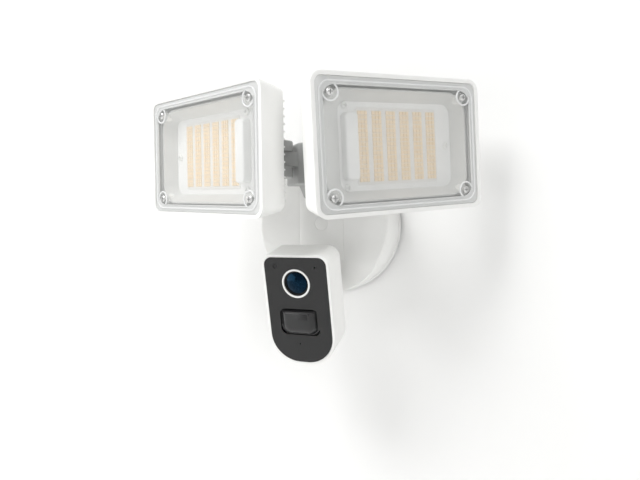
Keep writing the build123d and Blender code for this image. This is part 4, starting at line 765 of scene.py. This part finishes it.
def black_anodising():
    """Black anodised lens barrel: matt inside so that it shows no stray light."""
    made, tree, shader, place = new_finish("black_anodising", "#101011", 0.5)
    add_surface(tree, shader, place, ("#0D0D0E", "#151516"), 3, (0.42, 0.6), 0.2, 0.004)
    return made


def coated_glass():
    """Lens glass over a dark barrel: nearly black, with a blue coating glint."""
    made, tree, shader, place = new_finish("coated_glass", "#030508", 0.04, IOR=1.45)
    add_surface(tree, shader, place, ("#04060A", "#0A1422"), 4, (0.03, 0.05), 5.0, 0.002)
    shader.inputs["Specular Tint"].default_value = linear("#4CA6E0")
    return made


BEZEL = 2.5 * MM
SHELL_EDGE = 1.2 * MM
SHELL_WALL = 2.0 * MM
TOP_R = 9 * MM
LOW_R = 25 * MM
RECESS = 1.6 * MM
RING_WALL = 1.5 * MM
BARREL_GAP = 0.1 * MM
RIDGES = 4
DOME_R = 8.6 * MM
DOME_TOP = 0.75 * MM
DOME_DROP = 1.6 * MM
DOME_STEPS = 8
# the motion lens from back to front in mm: insets from side and top, upper and lower corner, height
BAY = (((0.0, 0.0), 2.5, 8.0, -1.6), ((0.0, 0.0), 2.5, 8.0, -0.9), ((1.2, 0.6), 2.0, 7.5, -1.0),
       ((2.0, 0.8), 1.5, 7.0, -0.6), ((3.5, 1.6), 1.5, 6.0, 2.4), ((4.6, 2.6), 1.3, 5.0, 3.8),
       ((6.0, 3.9), 1.2, 3.6, 4.6), ((7.6, 4.9), 1.0, 2.4, 4.95))
face_place = flat_frame("camera_face", "camera_front_shell")


def arc_steps(radius, count):
    """Inset and drop of a quarter round, from the side wall to the face."""
    angles = [math.radians(90 * step / count) for step in range(count + 1)]
    return [(radius * (1 - math.cos(a)), radius * (1 - math.sin(a))) for a in angles]


lo, hi = local_box("camera_front_shell", face_place)
wide, high = hi.x - lo.x, hi.y - lo.y
profile = [(0, lo.z)] + [(inset, -drop) for inset, drop in arc_steps(SHELL_EDGE, 4)]
profile += [(BEZEL - 0.25 * MM, 0), (BEZEL, -0.25 * MM), (BEZEL, -RECESS),
            (BEZEL + SHELL_WALL, -RECESS), (BEZEL + SHELL_WALL, -RECESS - SHELL_WALL),
            (SHELL_WALL, -RECESS - SHELL_WALL), (SHELL_WALL, lo.z)]
loops = [rounded_loop(wide - 2 * inset, high - 2 * inset, TOP_R - inset, LOW_R - inset, z, 14)
         for inset, z in profile]
shell = skin("camera_front_casing", loops, face_place, abs_white, close=True)
settle(shell, "camera", "white_plastic", "camera_front_shell")
softened("camera_rear_shell", "camera", "white_plastic", abs_white, 0.5)

# the motion lens: a dark window with a bay that juts out at its top
lo, hi = local_box("pir_lens", face_place)
wide, high = hi.x - lo.x, hi.y - lo.y
middle = face_place @ Matrix.Translation(((lo.x + hi.x) / 2, (lo.y + hi.y) / 2, 0))
loops = []
for (inset, rise), top_r, low_r, z in BAY:
    loop = rounded_loop(wide - 2 * inset * MM, high - 2 * rise * MM, top_r * MM, low_r * MM,
                        z * MM)
    # the bay leans to its top, so each loop past the rim is raised by part of what it lost
    lifted = max(rise - 0.8, 0) * 0.75 * MM
    loops.append([(x, y + lifted, level) for x, y, level in loop])
bay = skin("motion_lens", loops, middle, dark_polyethylene())
settle(bay, "camera", "dark_pir", "pir_lens")


def turned(name, profile, at, finish, close=False, steps=64):
    """A piece turned on a lathe: radius and height pairs, run round the axis of its place."""
    loops = [[(r * math.cos(math.tau * i / steps), r * math.sin(math.tau * i / steps), z)
              for i in range(steps)] for r, z in profile]
    return skin(name, loops, at, finish, close=close)


lo, hi = local_box("lens_ring", face_place)
eye = face_place @ Matrix.Translation((0, (lo.y + hi.y) / 2, 0))
ring_r, ring_top = (hi.x - lo.x) / 2, hi.z
bore = ring_r - RING_WALL
ring = turned("white_lens_ring", [(bore, lo.z), (ring_r, lo.z), (ring_r, ring_top - 0.5 * MM),
              (ring_r - 0.2 * MM, ring_top - 0.12 * MM), (ring_r - 0.5 * MM, ring_top),
              (bore + 0.4 * MM, ring_top), (bore + 0.1 * MM, ring_top - 0.15 * MM),
              (bore, ring_top - 0.5 * MM)], eye, abs_white, close=True)
settle(ring, "camera", "white_plastic", "lens_ring")

lo, hi = local_box("lens_barrel", face_place)
black_metal = black_anodising()
wall_r = bore - BARREL_GAP
barrel = [(4 * MM, lo.z), (7 * MM, lo.z), (7 * MM, -4 * MM), (wall_r, -3.6 * MM), (wall_r, 0),
          (wall_r - 0.5 * MM, 0.1 * MM), (wall_r - 0.7 * MM, -0.3 * MM)]
for ridge in range(RIDGES):
    r, z = wall_r - (0.8 + 0.5 * ridge) * MM, -(0.5 + 0.75 * ridge) * MM
    barrel += [(r, z), (r - 0.15 * MM, z - 0.5 * MM), (r + 0.1 * MM, z - 0.7 * MM)]
barrel += [(4.8 * MM, -3.8 * MM), (4 * MM, -4.2 * MM)]
tube = turned("lens_barrel_turned", barrel, eye, black_metal, close=True)
settle(tube, "camera", "black_lens", "lens_barrel")
dome = [(0.02 * MM, DOME_TOP)]
for step in range(1, DOME_STEPS + 1):
    slope = step / DOME_STEPS
    dome.append((DOME_R * slope, DOME_TOP - DOME_DROP * slope ** 2))
dome += [(DOME_R, -1.4 * MM), (0.02 * MM, -1.5 * MM)]
glass = turned("front_lens", dome[::-1], eye, coated_glass())
settle(glass, "camera", "lens_glass", "lens_glass")

dress(abs_white, "reset_button")
dress(black_acrylic(), "camera_face")
dress(black_metal, "light_sensor", "pir_sensor")
dress(rubber, "card_door")
